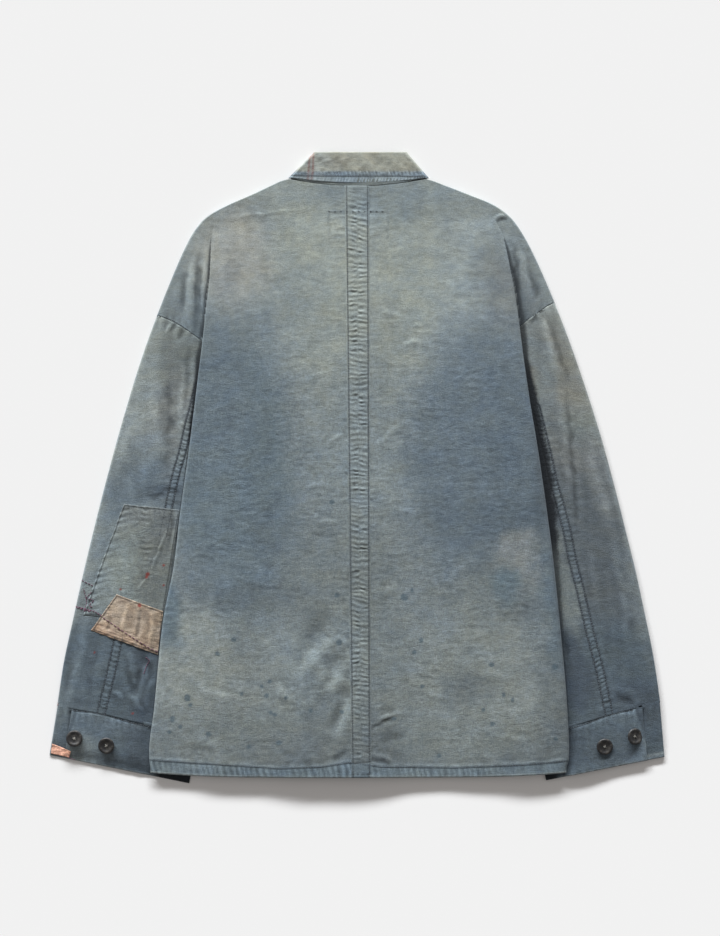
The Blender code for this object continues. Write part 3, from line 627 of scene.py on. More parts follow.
def sleeve_ring(side, t):
    outer, inner = sleeve_spine(side, t)
    upper = sleeve_stations(side, t)
    first = upper[0]
    last = upper[-1]
    outer_arc = []
    turn(outer_arc, first, 0, 180, (first[1] - TABLE) / 2, 6)
    inner_arc = []
    turn(inner_arc, (-last[0], last[1]), 0, 180, (last[1] - TABLE) / 2, 4)
    section = upper + [(-w, z) for w, z in inner_arc]
    section += [(w, TABLE) for w, _ in reversed(upper[:-1])]
    section += list(reversed(outer_arc[:-1])) + [first]
    bow = ARMHOLE_BOW * max(1 - t / 0.2, 0.0)
    cut = CORNER_CUT * max(1 - t / 0.05, 0.0)
    gap = SEAM * (1 if t == 0 else -1 if t == 1 else 0)
    ring = []
    for w, z in section:
        if t < 0.5:
            share = min(max((first[0] - w) / (first[0] - last[0]), 0.0), 1.0)
        else:
            share = (outer[0] - w) / (outer[0] - inner[0])
        y = lerp(outer[1], inner[1], share) + bow * 4 * share * (1 - share) - gap
        ring.append((w, y - cut * max((share - 0.8) / 0.2, 0.0), z))
    return ring


def cuff_section(side, t):
    cuff = CUFFS[side]
    outer = [lerp(a, b, t) for a, b in zip(cuff.outer_top, cuff.outer_low)]
    inner = [lerp(a, b, t) for a, b in zip(cuff.inner_top, cuff.inner_low)]
    wall = CUFF_CLOTH / 2
    outer_radius = (CUFF_UNDERLAP - CUFF_LOW) / 2
    inner_radius = (CUFF_HIDDEN - CUFF_LOW) / 2
    first = outer[0] - wall - outer_radius
    last = inner[0] + wall + inner_radius

    def at(out, level):
        share = (outer[0] - out) / (outer[0] - inner[0])
        return (out, lerp(outer[1], inner[1], share), level)

    lap = lerp(outer[0], inner[0], cuff.lap)
    edge = fold(side, inner[1])
    section = [(lap - 12.0, CUFF_UNDERLAP), (lerp(lap - 12.0, first, 0.5), CUFF_UNDERLAP),
               (first, CUFF_UNDERLAP)]
    turn(section, section[-1], 0, 180, outer_radius, 4)
    section += [(lerp(first, last, s), CUFF_LOW) for s in (0.25, 0.5, 0.75, 1.0)]
    arc = []
    turn(arc, (-last, CUFF_HIDDEN), 0, 180, inner_radius, 4)
    section += [(-w, z) for w, z in reversed(arc[:-1])]
    section.append((last, CUFF_HIDDEN))
    section.append((edge - 3.0, CUFF_HIDDEN))
    section.append((edge + 12.0, CUFF_TOP))
    section.append((lerp(edge + 12.0, lap, 0.5), CUFF_TOP))
    section.append((lap, CUFF_TOP))
    return [at(w, z) for w, z in section]


BACK_STEPS = 8
NECK_STEPS = (NECK_TOP, 703.5, 680.0, 651.0, FRONT_NECK + 1.5)
FRONT_STEPS = len(NECK_STEPS)


def collar_ring(inset, back_low, side_low, front_low, roll):
    """Stations round the neck: lower and upper end of each, from the left point round."""
    high = LEAF_HIGH - inset
    low = TABLE + inset
    radius = (high - low) / 2
    stations = []
    for side in SIDES:
        foot_half = side_low[side][0] - HALF - inset - radius
        head_half = ROLL_HALF[side] - HALF - inset - radius
        half = []
        for k in range(BACK_STEPS // 2 + 1):
            q = k / (BACK_STEPS // 2)
            half.append(((q * foot_half, lerp(back_low, side_low[side][1], q * q), high),
                         (q * head_half, roll, high)))
        for angle in (30, 60, 90, 120, 150, 180):
            out = radius * math.sin(math.radians(angle))
            level = low + radius + radius * math.cos(math.radians(angle))
            half.append(((foot_half + out, side_low[side][1], level),
                         (head_half + out, roll, level)))
        for k in range(1, FRONT_STEPS + 1):
            q = k / FRONT_STEPS
            half.append((front_low(q, foot_half) + (low,),
                         (lerp(head_half, POINT_GAP, q),
                          lerp(roll, FRONT_ROLL_Y, q ** 1.3) - inset * min(3 * q, 1), low)))
        half = [tuple((side * w, y, z) for w, y, z in pair) for pair in half]
        stations = half[::-1] if side == LEFT else stations + half[1:]
    return stations


def point_edge(q, start):
    return (lerp(start, POINT_X, q), lerp(FALL_SIDE_Y, POINT_Y, q ** 0.8))


def neck_edge(q, _):
    height = NECK_STEPS[round(q * FRONT_STEPS) - 1]
    return (max(neckline(height), 2.0), height + 3 * SEAM)


def fall_cage():
    side_low = {side: (FALL_HALF[side], FALL_SIDE_Y) for side in SIDES}
    stations = collar_ring(0.0, FALL_Y, side_low, point_edge, ROLL_Y - HALF - LEAF_GAP / 2)
    rows = []
    for t in (0.0, 0.35, 0.7, 1.0):
        rows.append([tuple(lerp(a, b, t) for a, b in zip(foot, head))
                     for foot, head in stations])
    bend = LEAF_GAP / 2
    count = len(stations)
    for angle in (60, 120, 180):
        rise = bend * math.sin(math.radians(angle))
        inward = bend * (1 - math.cos(math.radians(angle)))
        row = []
        for k, (_, head) in enumerate(stations):
            before = stations[max(k - 1, 0)][1]
            after = stations[min(k + 1, count - 1)][1]
            along = Vector((after[0] - before[0], 0.0, after[2] - before[2]))
            inner = Vector((along.z, 0.0, -along.x)).normalized()
            row.append((head[0] + inner.x * inward, head[1] + rise, head[2] + inner.z * inward))
        rows.append(row)
    return rows


def stand_cage():
    side_low = {side: (STAND_HALF[side] + LEAF_GAP, STAND_SIDE_Y) for side in SIDES}
    stations = collar_ring(LEAF_GAP, STAND_Y, side_low, neck_edge,
                           ROLL_Y - HALF - LEAF_GAP / 2 - 3 * SEAM)
    return [[tuple(lerp(a, b, t) for a, b in zip(foot, head)) for foot, head in stations]
            for t in (0.0, 0.5, 1.0)]


# Relief of the cloth -------------------------------------------------------

# A crease runs between two points, bowed, as a ridge (high above 0) or a trough
Crease = namedtuple("Crease", "x0 y0 x1 y1 bow high wide")
# A sewn seam: its line, half its width, the pitch and height of its puckers
Seam = namedtuple("Seam", "points half pitch high")

BACK_CREASES = (
    Crease(-160, 664, -50, 676, 1.5, 0.45, 2.0),
    Crease(-36, 174, -76, 116, 3, 2.2, 10.0),
    Crease(-28, 206, -86, 146, 4, -1.9, 14.0),
    Crease(-8, 168, -44, 165, -2, 1.1, 6.0),
    Crease(-10, 151, -46, 143, 2, -1.4, 9.0),
    Crease(-12, 139, -38, 98, 2, 1.5, 8.0),
    Crease(-12, 119, -35, 60, 3, -1.7, 8.0),
    Crease(-9, 110, -29, 40, 3, 1.5, 8.5),
    Crease(-10, 40, -38, 26, 2, -0.9, 3.0),
    Crease(-100, 118, -70, 92, 2, 0.5, 5.0),
    Crease(-112, 92, -84, 56, -3, -0.5, 6.0),
    Crease(14, 62, 50, 80, 1, -1.0, 1.6),
    Crease(20, 60, 60, 54, -3, -0.8, 6.0),
    Crease(18, 71, 54, 84, 1, 0.7, 3.0),
    Crease(14, 35, 48, 22, 2, 0.8, 2.4),
    Crease(14, 29, 44, 19, 2, -0.8, 1.8),
    Crease(16, 214, 52, 232, 3, 0.5, 4.0),
    Crease(18, 160, 46, 148, -2, 0.4, 4.0),
    Crease(18, 392, 66, 430, 3, 0.5, 3.2),
    Crease(-38, 398, -14, 412, 1, 0.7, 2.2),
    Crease(-56, 312, -18, 308, -2, 0.45, 2.4),
    Crease(-60, 296, -20, 290, -2, -0.45, 3.0),
    Crease(-66, 345, -18, 352, 3, 0.4, 4.0),
    Crease(40, 512, 92, 520, 3, 0.4, 2.6),
    Crease(22, 560, 70, 548, -3, 0.4, 3.0),
    Crease(-70, 470, -22, 486, 3, 0.4, 3.0),
    Crease(30, 330, 84, 318, -3, 0.4, 3.0),
    Crease(90, 230, 150, 262, 4, 0.6, 6.0),
    Crease(110, 150, 190, 120, -5, 0.6, 7.0),
    Crease(60, 120, 120, 96, -3, 0.5, 5.0),
    Crease(-190, 120, -130, 96, -4, 0.5, 6.0),
    Crease(-180, 210, -130, 240, 4, 0.6, 7.0),
    Crease(150, 60, 215, 52, -3, 0.5, 4.0),
    Crease(-215, 50, -150, 44, 3, 0.5, 4.0),
    Crease(163, 660, 178, 664, 1, -1.0, 1.5),
    Crease(160, 664, 176, 668, 1, 0.7, 1.8),
    Crease(-177.5, 640, -181, 556, 0.5, 0.8, 3.0),
    Crease(-186.5, 628, -190.5, 530, 0.5, -1.8, 3.4),
    Crease(-195, 618, -200, 548, 1, 0.8, 3.0),
    Crease(-204, 604, -207, 552, 1, -0.7, 2.6),
    Crease(182, 640, 193, 556, 1, -1.2, 2.8),
    Crease(190, 636, 204, 566, 1, 1.0, 4.0),
    Crease(200, 606, 214, 568, 1, -0.6, 3.0),
)
HEM_STITCH = ((-244.3, 27.1), (-197.1, 23.6), (-138.1, 20.1), (-90.9, 17.1), (-43.7, 18.9),
              (-5.9, 24.6), (28.3, 18.9), (116.8, 17.7), (194.7, 21.2), (247.8, 26.0))
LABEL_STITCHES = ((-34, 673), (37, 673), (37, 642), (-34, 642), (-34, 673))
SLEEVE_SEAMS = {
    LEFT: (
        Seam(((-187.5, 468), (-193.5, 440), (-199, 420), (-202.4, 404), (-206.5, 386),
              (-212, 368), (-217.5, 345), (-223, 318), (-229, 290)), 4.0, 4.9, 0.34),
        Seam(((-280.5, 172), (-291, 124), (-300, 88), (-304, 70)), 4.6, 5.4, 0.34),
    ),
    RIGHT: (
        Seam(((211, 442), (217.5, 415), (224.2, 388), (230.7, 356.4), (239, 328), (247.2, 297),
              (253.7, 262), (263.1, 226.6), (273.8, 179.4), (286.2, 132), (295, 89.7),
              (299, 70)), 4.3, 5.1, 0.34),
    ),
}
ARMHOLE_LINES = {
    LEFT: ((-236, 549.5), (-221.8, 546.8), (-211.2, 541.6), (-202.1, 535.1), (-191.4, 527.0)),
    RIGHT: ((199, 545.5), (209.6, 551), (217.1, 557.4), (226, 562.3), (231, 566)),
}
SLEEVE_CREASES = {
    LEFT: (
        Crease(-219, 495, -224, 345, 0, -1.6, 5.0),
        Crease(-234, 484, -240, 345, 0, 1.2, 7.5),
        Crease(-204, 500, -212, 392, 0, 1.0, 4.5),
        Crease(-250, 470, -262, 400, 0, -0.8, 7.0),
        Crease(-262, 440, -290, 340, 0, 0.8, 6.0),
        Crease(-196, 520, -204, 440, 0, -1.0, 4.0),
        Crease(-246, 400, -254, 330, 0, 0.7, 6.0),
        Crease(-272, 366, -262, 320, 0, 0.6, 6.0),
        Crease(-230, 348, -206, 338, 0, -1.0, 3.0),
        Crease(-250, 336, -222, 341, 0, -0.8, 3.0),
        Crease(-220.7, 548, -228, 532, 0, -0.8, 1.7),
        Crease(-213, 544, -221, 528, 0, -0.8, 1.7),
        Crease(-203, 538, -211, 520, 0, -0.9, 1.8),
        Crease(-216, 546, -225, 528, 0, 0.6, 2.0),
        Crease(-208, 541, -216, 522, 0, 0.7, 2.0),
        Crease(-244, 150, -258, 106, 2, 1.8, 4.0),
        Crease(-250, 146, -266, 102, 2, -1.6, 4.0),
        Crease(-289, 108, -274, 97, 1, 1.4, 2.6),
        Crease(-268, 106, -252, 79, 1, 1.4, 3.0),
        Crease(-274, 138, -260, 94, 1, -1.4, 4.0),
        Crease(-258, 166, -240, 118, 2, -1.4, 5.0),
        Crease(-238, 128, -250, 84, -2, 1.3, 3.5),
        Crease(-272, 160, -262, 124, 1, 1.2, 4.0),
        Crease(-318, 196, -334, 110, 1, 0.8, 5.0),
        Crease(-304, 180, -318, 96, 1, -0.8, 5.0),
        Crease(-335, 160, -346, 96, 1, -0.5, 4.0),
    ),
    RIGHT: (
        Crease(246, 466, 259, 285, 2, -1.5, 3.6),
        Crease(236, 462, 249, 320, 2, 1.2, 5.0),
        Crease(215, 548, 236, 470, 2, 0.9, 5.0),
        Crease(222, 552, 252, 462, 2, -1.0, 4.0),
        Crease(262, 440, 292, 300, 3, 0.8, 7.0),
        Crease(280, 400, 312, 262, 3, -0.9, 6.0),
        Crease(268, 300, 286, 190, 2, 0.7, 5.0),
        Crease(296, 290, 322, 160, 2, 0.8, 6.0),
        Crease(306, 270, 334, 130, 2, -0.8, 6.0),
        Crease(300, 103, 330, 92, 1, -1.2, 3.5),
        Crease(298, 112, 332, 102, 1, 0.9, 3.5),
        Crease(201, 545, 211, 553, 0, 0.8, 1.4),
        Crease(204, 541, 213, 548, 0, -0.8, 1.4),
        Crease(212, 552, 222, 558, 0, -0.6, 1.4),
        Crease(218, 548, 225, 530, 0, 0.6, 2.4),
        Crease(244, 180, 250, 140, 0, -0.8, 3.0),
    ),
}


def creases(rows, x, y):
    """Height of a table of creases at each place. They taper at their ends and waver."""
    total = np.zeros(x.shape)
    for number, row in enumerate(rows):
        dx = row.x1 - row.x0
        dy = row.y1 - row.y0
        length = math.hypot(dx, dy)
        s = ((x - row.x0) * dx + (y - row.y0) * dy) / length**2
        d = ((y - row.y0) * dx - (x - row.x0) * dy) / length - row.bow * 4 * s * (1 - s)
        near = (s > 0) & (s < 1) & (np.abs(d) < 6 * row.wide)
        run = s[near] * length
        d = d[near] + 0.9 * row.wide * noise(run / (4 + 2.2 * row.wide), number + 0.5, 90)
        size = row.high * (0.85 + 0.7 * noise(run / (6 + 2 * row.wide), number + 0.5, 91))
        form = 0.65 * bell(d / row.wide) + 0.35 * bell(d / (2.4 * row.wide))
        total[near] += size * form * np.sin(math.pi * s[near]) ** 1.2
    return total


def beside(points, x, y):
    """Signed distance from a line of points, and the length along it."""
    best = np.full(x.shape, 1e9)
    signed = np.full(x.shape, 1e9)
    along = np.zeros(x.shape)
    done = 0.0
    for (ax, ay), (bx, by) in zip(points, points[1:]):
        dx = bx - ax
        dy = by - ay
        length = math.hypot(dx, dy)
        t = np.clip(((x - ax) * dx + (y - ay) * dy) / length**2, 0.0, 1.0)
        away = np.hypot(x - ax - t * dx, y - ay - t * dy)
        closer = away < best
        side = np.where((x - ax) * dy - (y - ay) * dx < 0, -1.0, 1.0)
        best = np.where(closer, away, best)
        signed = np.where(closer, away * side, signed)
        along = np.where(closer, done + t * length, along)
        done += length
    return signed, along


def washed(x, y, seed, rough=1.0):
    """Crinkle of washed cotton: small ripples and soft creases that come and go."""
    patchy = np.clip(0.75 + 0.9 * noise(x / 52, y / 44, seed), 0.3, 1.4)
    warp = 4.0 * noise(x / 15, y / 13, seed + 1)
    fine = noise(x / 4.2, y / 3.1, seed + 2) + 1.5 * noise((x + warp) / 9.0, y / 4.2, seed + 3)
    middle = ridged((x + 2 * warp) / 23, (y - warp) / 9, seed + 4)
    soft = noise(x / 19, y / 26, seed + 6)
    broad = noise(x / 62, y / 52, seed + 5)
    return patchy * (rough * (0.10 * fine + 0.15 * middle) + 0.26 * soft) + 0.7 * broad


def seam_relief(seam, x, y, seed):
    """A puckered band between two rows of stitches, with creases running out of it."""
    d, s = beside(seam.points, x, y)
    inside = np.clip(1 - (d / seam.half) ** 2, 0.0, 1.0)
    lean = noise(s / 50, 0.5 * np.sign(d), seed)
    bars = rungs(s + 1.2 * lean * d + 1.6 * noise(s / 8, d / 4, seed + 7), seam.pitch, seed + 1)
    outside = np.exp(-np.clip(np.abs(d) - seam.half, 0.0, 60.0) / 6.0)
    run = noise(d / 22, s / (0.6 * seam.pitch), seed + 5)
    out = np.where(np.abs(d) < seam.half, 0.0, 1.5 * seam.high * outside * run)
    lines = -0.45 * bell((np.abs(d) - seam.half) / 0.8)
    ends = ease(s / 4.0)
    bars = bars + 0.5 * noise(d / 2.2, s / 2.6, seed + 6)
    return ends * (0.1 * np.sqrt(inside) + 1.3 * seam.high * np.sqrt(inside) * bars + out + lines)


def armhole_relief(side, x, y, seed):
    """Gathers along the armhole seam."""
    d, s = beside(ARMHOLE_LINES[side], x, y)
    gathers = rungs(s + 2 * noise(d / 8, s / 12, seed), 7.5, seed + 1)
    return 0.35 * np.exp(-np.abs(d) / 5.0) * gathers


def back_relief(x, y):
    calm = 1 - 0.4 * ease((y - 440) / 160)
    total = washed(x, y, 11, calm) + creases(BACK_CREASES, x, y)
    away = np.abs(x - centre_x(y)) - strap_half(y)
    total += 0.3 * np.exp(-np.clip(away, 0, 99) / 9.0) * noise(x / 17, y / 3.6, 31)
    d, s = beside(LABEL_STITCHES, x, y)
    total += bell(d / 0.9) * (0.12 + 0.3 * noise(s / 5.0, 0.5, 33))
    total -= 0.12 * bell((d - 1.9) / 0.9) * (0.6 + noise(s / 7.0, 0.5, 34))
    inside = ease((36 - np.abs(x - 1)) / 3) * ease((16 - np.abs(y - 657)) / 3)
    total += inside * 0.3 * noise(x / 15, y / 4.6, 36)
    below = np.interp(x, *zip(*HEM_STITCH)) - y
    bars = rungs(x + 0.25 * y + 2 * noise(x / 30, y / 9, 34), 6.8, 35)
    total += ease(below / 2.5) * (0.15 + (0.22 + 0.3 * noise(x / 45, 0.5, 38)) * bars)
    total += 0.35 * bell((below + 2.2) / 1.6) * (0.7 + noise(x / 11, 0.5, 39))
    for side in SIDES:
        total += armhole_relief(side, x, y, 37)
    return total


def sleeve_relief(side, x, y):
    total = washed(x, y, 41 + side, 0.65) + creases(SLEEVE_CREASES[side], x, y)
    total += 0.4 * noise(x / 13, y / 46, 45 + side) + armhole_relief(side, x, y, 37)
    for seam in SLEEVE_SEAMS[side]:
        total += seam_relief(seam, x, y, 47)
    return total


def seam_distance(seams, x, y):
    """Distance to the nearest stitched line of the felled seams."""
    nearest = np.full(x.shape, NO_SEAM)
    for seam in seams:
        d = np.abs(beside(seam.points, x, y)[0])
        nearest = np.minimum(nearest, np.abs(d - seam.half))
    return nearest


def blurred(values, cells):
    """Running mean along both ways of a grid."""
    for axis in (0, 1):
        moved = np.moveaxis(values, axis, 0)
        padded = np.concatenate([moved[:1].repeat(cells, 0), moved, moved[-1:].repeat(cells, 0)])
        total = np.cumsum(np.concatenate([np.zeros_like(padded[:1]), padded]), axis=0)
        width = 2 * cells + 1
        values = np.moveaxis((total[width:] - total[:-width]) / width, 0, axis)
    return values


# Colours -------------------------------------------------------------------

FLOOR_ALBEDO = 0.82
BRIGHT = 242              # 8-bit value of the lit floor


def linear(value):
    value = np.asarray(value, float) / 255
    return np.where(value <= 0.04045, value / 12.92, ((value + 0.055) / 1.055) ** 2.4)


def seen(*colour):
    """Cloth colour that looks like an 8-bit colour in the studio's light."""
    return linear(colour) * FLOOR_ALBEDO / linear(BRIGHT)


# Colours painted on the cloth: its dyes and fades, some also used for painted shade and highlight;
# black is only painted shade.
PAINT_COLOURS = {
    "mist": seen(140, 149, 148),
    "celadon": seen(152, 159, 151),
    "warm": seen(152, 151, 143),
    "chalk": seen(160, 168, 166),
    "faded": seen(122, 133, 136),
    "washed": seen(118, 128, 131),
    "indigo": seen(99, 112, 121),
    "deep": seen(86, 99, 109),
    "ash": seen(126, 132, 132),
    "teal": seen(82, 118, 122),
    "drab": seen(110, 118, 117),
    "sage": seen(136, 144, 142),
    "khaki": seen(125, 132, 129),
    "blue": seen(90, 107, 118),
    "slate": seen(78, 90, 98),
    "ink": seen(62, 72, 82),
    "olive": seen(119, 121, 115),
    "pale": seen(124, 135, 138),
    "beige": seen(152, 138, 121),
    "umber": seen(128, 100, 76),
    "peach": seen(168, 138, 114),
    "salmon": seen(244, 186, 160),
    "collar": seen(159, 162, 152),
    "stain": seen(128, 124, 110),
    "bleached": seen(146, 160, 166),
    "lichen": seen(128, 137, 133),
    "bark": seen(112, 80, 66),
    "smoke": seen(84, 92, 97),
    "flint": seen(101, 106, 107),
    "moss": seen(104, 110, 108),
    "sand": seen(178, 163, 146),
    "rust": seen(120, 40, 30),
    "denim": seen(118, 134, 146),
    "dot": seen(74, 90, 99),
    "thread": seen(40, 50, 62),
    "black": seen(20, 24, 29),
}

# Soft-edged area: middle, half sizes, colour, strength, turn in degrees and softness
Zone = namedtuple("Zone", "x y wide high dye share turn soft", defaults=(0, 0.6))
BACK_ZONES = (
    Zone(0, 645, 236, 88, "mist", 0.9, 0, 0.5),
    Zone(-144, 622, 45, 53, "warm", 0.55),
    Zone(-46, 592, 42, 142, "celadon", 0.7, 4),
    Zone(45, 569, 50, 112, "celadon", 0.55),
    Zone(145, 654, 31, 26, "chalk", 0.2),
    Zone(174, 606, 34, 62, "washed", 0.8, 6),
    Zone(182, 570, 30, 48, "flint", 0.55),
    Zone(-158, 592, 16, 20, "flint", 0.35),
    Zone(36, 674, 36, 20, "blue", 0.32),
    Zone(20, 396, 46, 50, "celadon", 0.3),
    Zone(-102, 480, 30, 30, "bleached", 0.22),
    Zone(-62, 588, 24, 30, "faded", 0.5),
    Zone(26, 692, 90, 26, "faded", 0.75),
    Zone(160, 596, 26, 24, "flint", 0.35),
    Zone(-91, 533, 47, 47, "faded", 0.5),
    Zone(-146, 368, 74, 165, "blue", 0.66, 4, 0.35),
    Zone(-168, 451, 42, 83, "indigo", 0.6, 0, 0.5),
    Zone(-75, 270, 50, 66, "indigo", 0.45, 20, 0.4),
    Zone(6, 385, 66, 90, "pale", 0.75),
    Zone(151, 392, 92, 139, "indigo", 1.0, 0, 0.3),
    Zone(192, 368, 47, 106, "deep", 0.55, 0, 0.5),
    Zone(133, 286, 71, 47, "deep", 0.35, 0, 0.5),
    Zone(202, 267, 40, 35, "ash", 0.95, 0, 0.3),
    Zone(175, 238, 17, 11, "teal", 0.4, 0, 0.5),
    Zone(-14, 227, 71, 83, "drab", 0.65, 0, 0.5),
    Zone(-197, 144, 57, 59, "sage", 0.95, 0, 0.35),
    Zone(-144, 97, 71, 71, "khaki", 0.6, 0, 0.5),
    Zone(157, 109, 112, 65, "khaki", 0.65, 0, 0.5),
    Zone(169, 156, 71, 35, "sage", 0.6, -10, 0.4),
    Zone(-26, 138, 71, 53, "faded", 0.5, 0, 0.5),
    Zone(104, 71, 53, 26, "sage", 0.5, 0, 0.5),
    Zone(192, 79, 47, 35, "sage", 0.5, 0, 0.5),
    Zone(-225, 201, 19, 45, "blue", 0.8, 6, 0.4),
    # Painted shade: the next two areas darken the body's right side, where its fold rounds away
    # from the light
    Zone(226, 330, 20, 120, "deep", 0.6, 5),
    Zone(238, 206, 12, 60, "deep", 0.7, 4),
    Zone(160, 214, 50, 40, "drab", 0.7),
    Zone(-170, 254, 40, 30, "indigo", 0.4),
    Zone(20, 96, 60, 60, "drab", 0.6),
    Zone(-60, 52, 110, 40, "drab", 0.8),
    Zone(-10, 38, 80, 32, "smoke", 0.45),
    Zone(130, 44, 120, 36, "drab", 0.7),
    Zone(215, 24, 56, 14, "smoke", 0.3),
    # Painted shade on the body's right edge, where its fold rounds away from the light
    Zone(222, 190, 22, 110, "indigo", 0.45, 4),
    Zone(130, 124, 50, 40, "drab", 0.5),
    Zone(-190, 14, 60, 20, "sage", 0.4),
    Zone(234, 110, 20, 60, "drab", 0.7),
    Zone(200, 214, 34, 24, "smoke", 0.3),
    # Painted shade: the next two areas darken the body's right fold, where it rounds away from the
    # light
    Zone(226, 320, 20, 70, "slate", 0.35, 4),
    Zone(234, 336, 14, 56, "slate", 0.5, 4),
    Zone(232, 84, 24, 80, "smoke", 0.35),
    Zone(-96, 24, 60, 30, "smoke", 0.4),
    Zone(127, 110, 28, 22, "smoke", 0.35),
    Zone(-50, 74, 22, 22, "smoke", 0.35),
    Zone(26, 50, 24, 40, "smoke", 0.5),
    Zone(-130, 224, 60, 16, "smoke", 0.3),
    Zone(177, 231, 17, 22, "blue", 0.6, 0, 0.5),
    Zone(232, 206, 14, 74, "blue", 0.6, 4, 0.5),
)
# Bands of colour down a sleeve, by height
Tone = namedtuple("Tone", "height dye")
SLEEVE_TONES = {
    LEFT: (Tone(100, "slate"), Tone(165, "slate"), Tone(215, "washed"), Tone(300, "pale"),
           Tone(345, "indigo"), Tone(385, "washed"), Tone(450, "ash"), Tone(500, "drab"),
           Tone(560, "drab"), Tone(620, "mist")),
    RIGHT: (Tone(90, "slate"), Tone(165, "slate"), Tone(200, "smoke"), Tone(300, "smoke"),
            Tone(350, "smoke"), Tone(385, "flint"), Tone(425, "drab"), Tone(460, "olive"),
            Tone(520, "olive"), Tone(580, "mist"), Tone(640, "mist")),
}
SLEEVE_ZONES = {
    LEFT: (
        Zone(-215, 470, 22, 60, "drab", 0.3, -12, 0.5),
        Zone(-221, 430, 10, 76, "flint", 0.6, -3),
        Zone(-204, 402, 9, 30, "pale", 0.6, -8),
        Zone(-252, 470, 18, 86, "mist", 0.9, -13, 0.7),
        # Painted shade in the crease above the elbow patch
        Zone(-226, 338, 24, 15, "ink", 0.55, -14, 0.5),
        Zone(-250, 370, 24, 36, "indigo", 0.45, -16),
        Zone(-250, 150, 24, 40, "ink", 0.5, -14, 0.5),
        Zone(-258, 145, 16, 14, "ink", 0.6, -20),
        Zone(-250, 88, 16, 13, "ink", 0.6),
        Zone(-325, 130, 22, 50, "indigo", 0.5, -12, 0.5),
        Zone(-298, 150, 30, 50, "slate", 0.5, -14),
        Zone(-290, 300, 14, 50, "indigo", 0.35, -18),
        Zone(-348, 76, 13, 40, "faded", 0.3, -10),
        Zone(-328, 74, 20, 20, "ink", 0.35),
    ),
    RIGHT: (
        Zone(214, 500, 16, 50, "washed", 0.85, 12),
        Zone(226, 440, 12, 40, "washed", 0.6, 12),
        Zone(240, 400, 14, 50, "flint", 0.6, 12),
        Zone(286, 352, 16, 50, "ash", 0.5, 18),
        Zone(246, 226, 11, 66, "drab", 0.9, 13),
        Zone(346, 86, 16, 18, "ink", 0.5),
        Zone(330, 208, 12, 60, "washed", 0.4, 14),
        Zone(320, 106, 34, 13, "ink", 0.75, 8),
        Zone(256, 128, 15, 52, "ink", 0.75, 8, 0.3),
        Zone(300, 160, 30, 50, "slate", 0.5, 14),
        Zone(340, 72, 20, 22, "ink", 0.35),
        Zone(262, 112, 34, 26, "ink", 0.4),
        Zone(334, 84, 24, 18, "ink", 0.4),
        Zone(236, 96, 12, 40, "ink", 0.3),
    ),
}
# Round paint drops: place and radius
RED_DROPS = ((-246.6, 245.4, 2.3), (-248.0, 242.0, 1.6), (-227.7, 256.0, 1.3),
             (-278.5, 227.7, 1.3), (-256.1, 208.9, 2.2), (-309.2, 153.4, 1.2),
             (-264.3, 81.4, 1.2), (-352.8, 92.0, 1.0), (-227.7, 232.5, 1.2))
BACK_DROPS = (
    (-29.5, 330.4, 2.9), (-23.6, 220.7, 2.9), (-145.1, 168.7, 2.9), (-164.0, 152.2, 2.9),
    (-199.4, 100.3, 4.1), (-217.1, 75.5, 3.5), (-195.9, 92.0, 2.4), (-207.7, 66.1, 2.4),
    (-220.7, 60.2, 2.4), (-174.6, 57.8, 2.9), (-112.1, 113.3, 2.4), (-102.7, 119.2, 2.4),
    (-106.2, 102.7, 2.9), (-135.7, 105.0, 2.4), (-83.8, 100.3, 2.4), (-101.5, 82.6, 2.4),
    (-96.8, 80.2, 2.4), (-54.3, 85.0, 2.4), (-21.2, 165.2, 3.5), (-127.4, 42.5, 2.4),
    (-92.0, 47.2, 2.9), (-17.7, 83.8, 2.4), (55.5, 218.3, 4.1), (64.9, 226.6, 2.4),
    (75.5, 167.6, 2.9), (67.3, 153.4, 2.4), (76.7, 113.3, 2.4), (158.1, 139.2, 2.9),
    (232.5, 136.9, 3.5), (172.3, 103.8, 2.4), (182.9, 97.9, 2.4), (148.7, 86.1, 2.4),
    (159.3, 69.6, 2.9), (43.7, 75.5, 2.4), (233.6, 51.9, 2.4), (96.8, 31.9, 2.4),
)


def blend_in(colour, dye, mask):
    """The colour goes over to a painted colour by the mask's share."""
    return colour + (PAINT_COLOURS[dye] - colour) * mask[..., None]


def painted(base, zones, x, y, seed):
    """A base colour with soft areas over it."""
    colour = np.broadcast_to(PAINT_COLOURS[base], (*x.shape, 3)).copy()
    return zoned(colour, zones, x, y, seed)


def zoned(colour, zones, x, y, seed):
    """Soft areas over a colour, with wandering edges."""
    wander_x = x + 13 * noise(x / 42, y / 42, seed) + 5 * noise(x / 13, y / 13, seed + 1)
    wander_y = y + 13 * noise(x / 42, y / 42, seed + 2) + 5 * noise(x / 13, y / 13, seed + 3)
    for zone in zones:
        angle = math.radians(zone.turn)
        dx = wander_x - zone.x
        dy = wander_y - zone.y
        u = (dx * math.cos(angle) + dy * math.sin(angle)) / zone.wide
        v = (dy * math.cos(angle) - dx * math.sin(angle)) / zone.high
        inside = 1 - ease((np.hypot(u, v) - 1 + zone.soft) / (2 * zone.soft))
        colour = blend_in(colour, zone.dye, zone.share * inside)
    return colour


def mottled(colour, x, y, seed):
    """Uneven fading at four scales, over clouds that are greener or bluer."""
    tone = 0.10 * noise(x / 38, y / 30, seed) + 0.09 * noise(x / 19, y / 15, seed + 3)
    tone += 0.09 * noise(x / 10, y / 7.5, seed + 1) + 0.07 * noise(x / 3.6, y / 2.4, seed + 2)
    hue = 0.07 * noise(x / 24, y / 18, seed + 7) + 0.05 * noise(x / 6, y / 5, seed + 8)
    change = tone[..., None] * np.array([1.1, 1.0, 0.9])
    change += hue[..., None] * np.array([1.0, 0.3, -1.0])
    return colour * (1 + change)


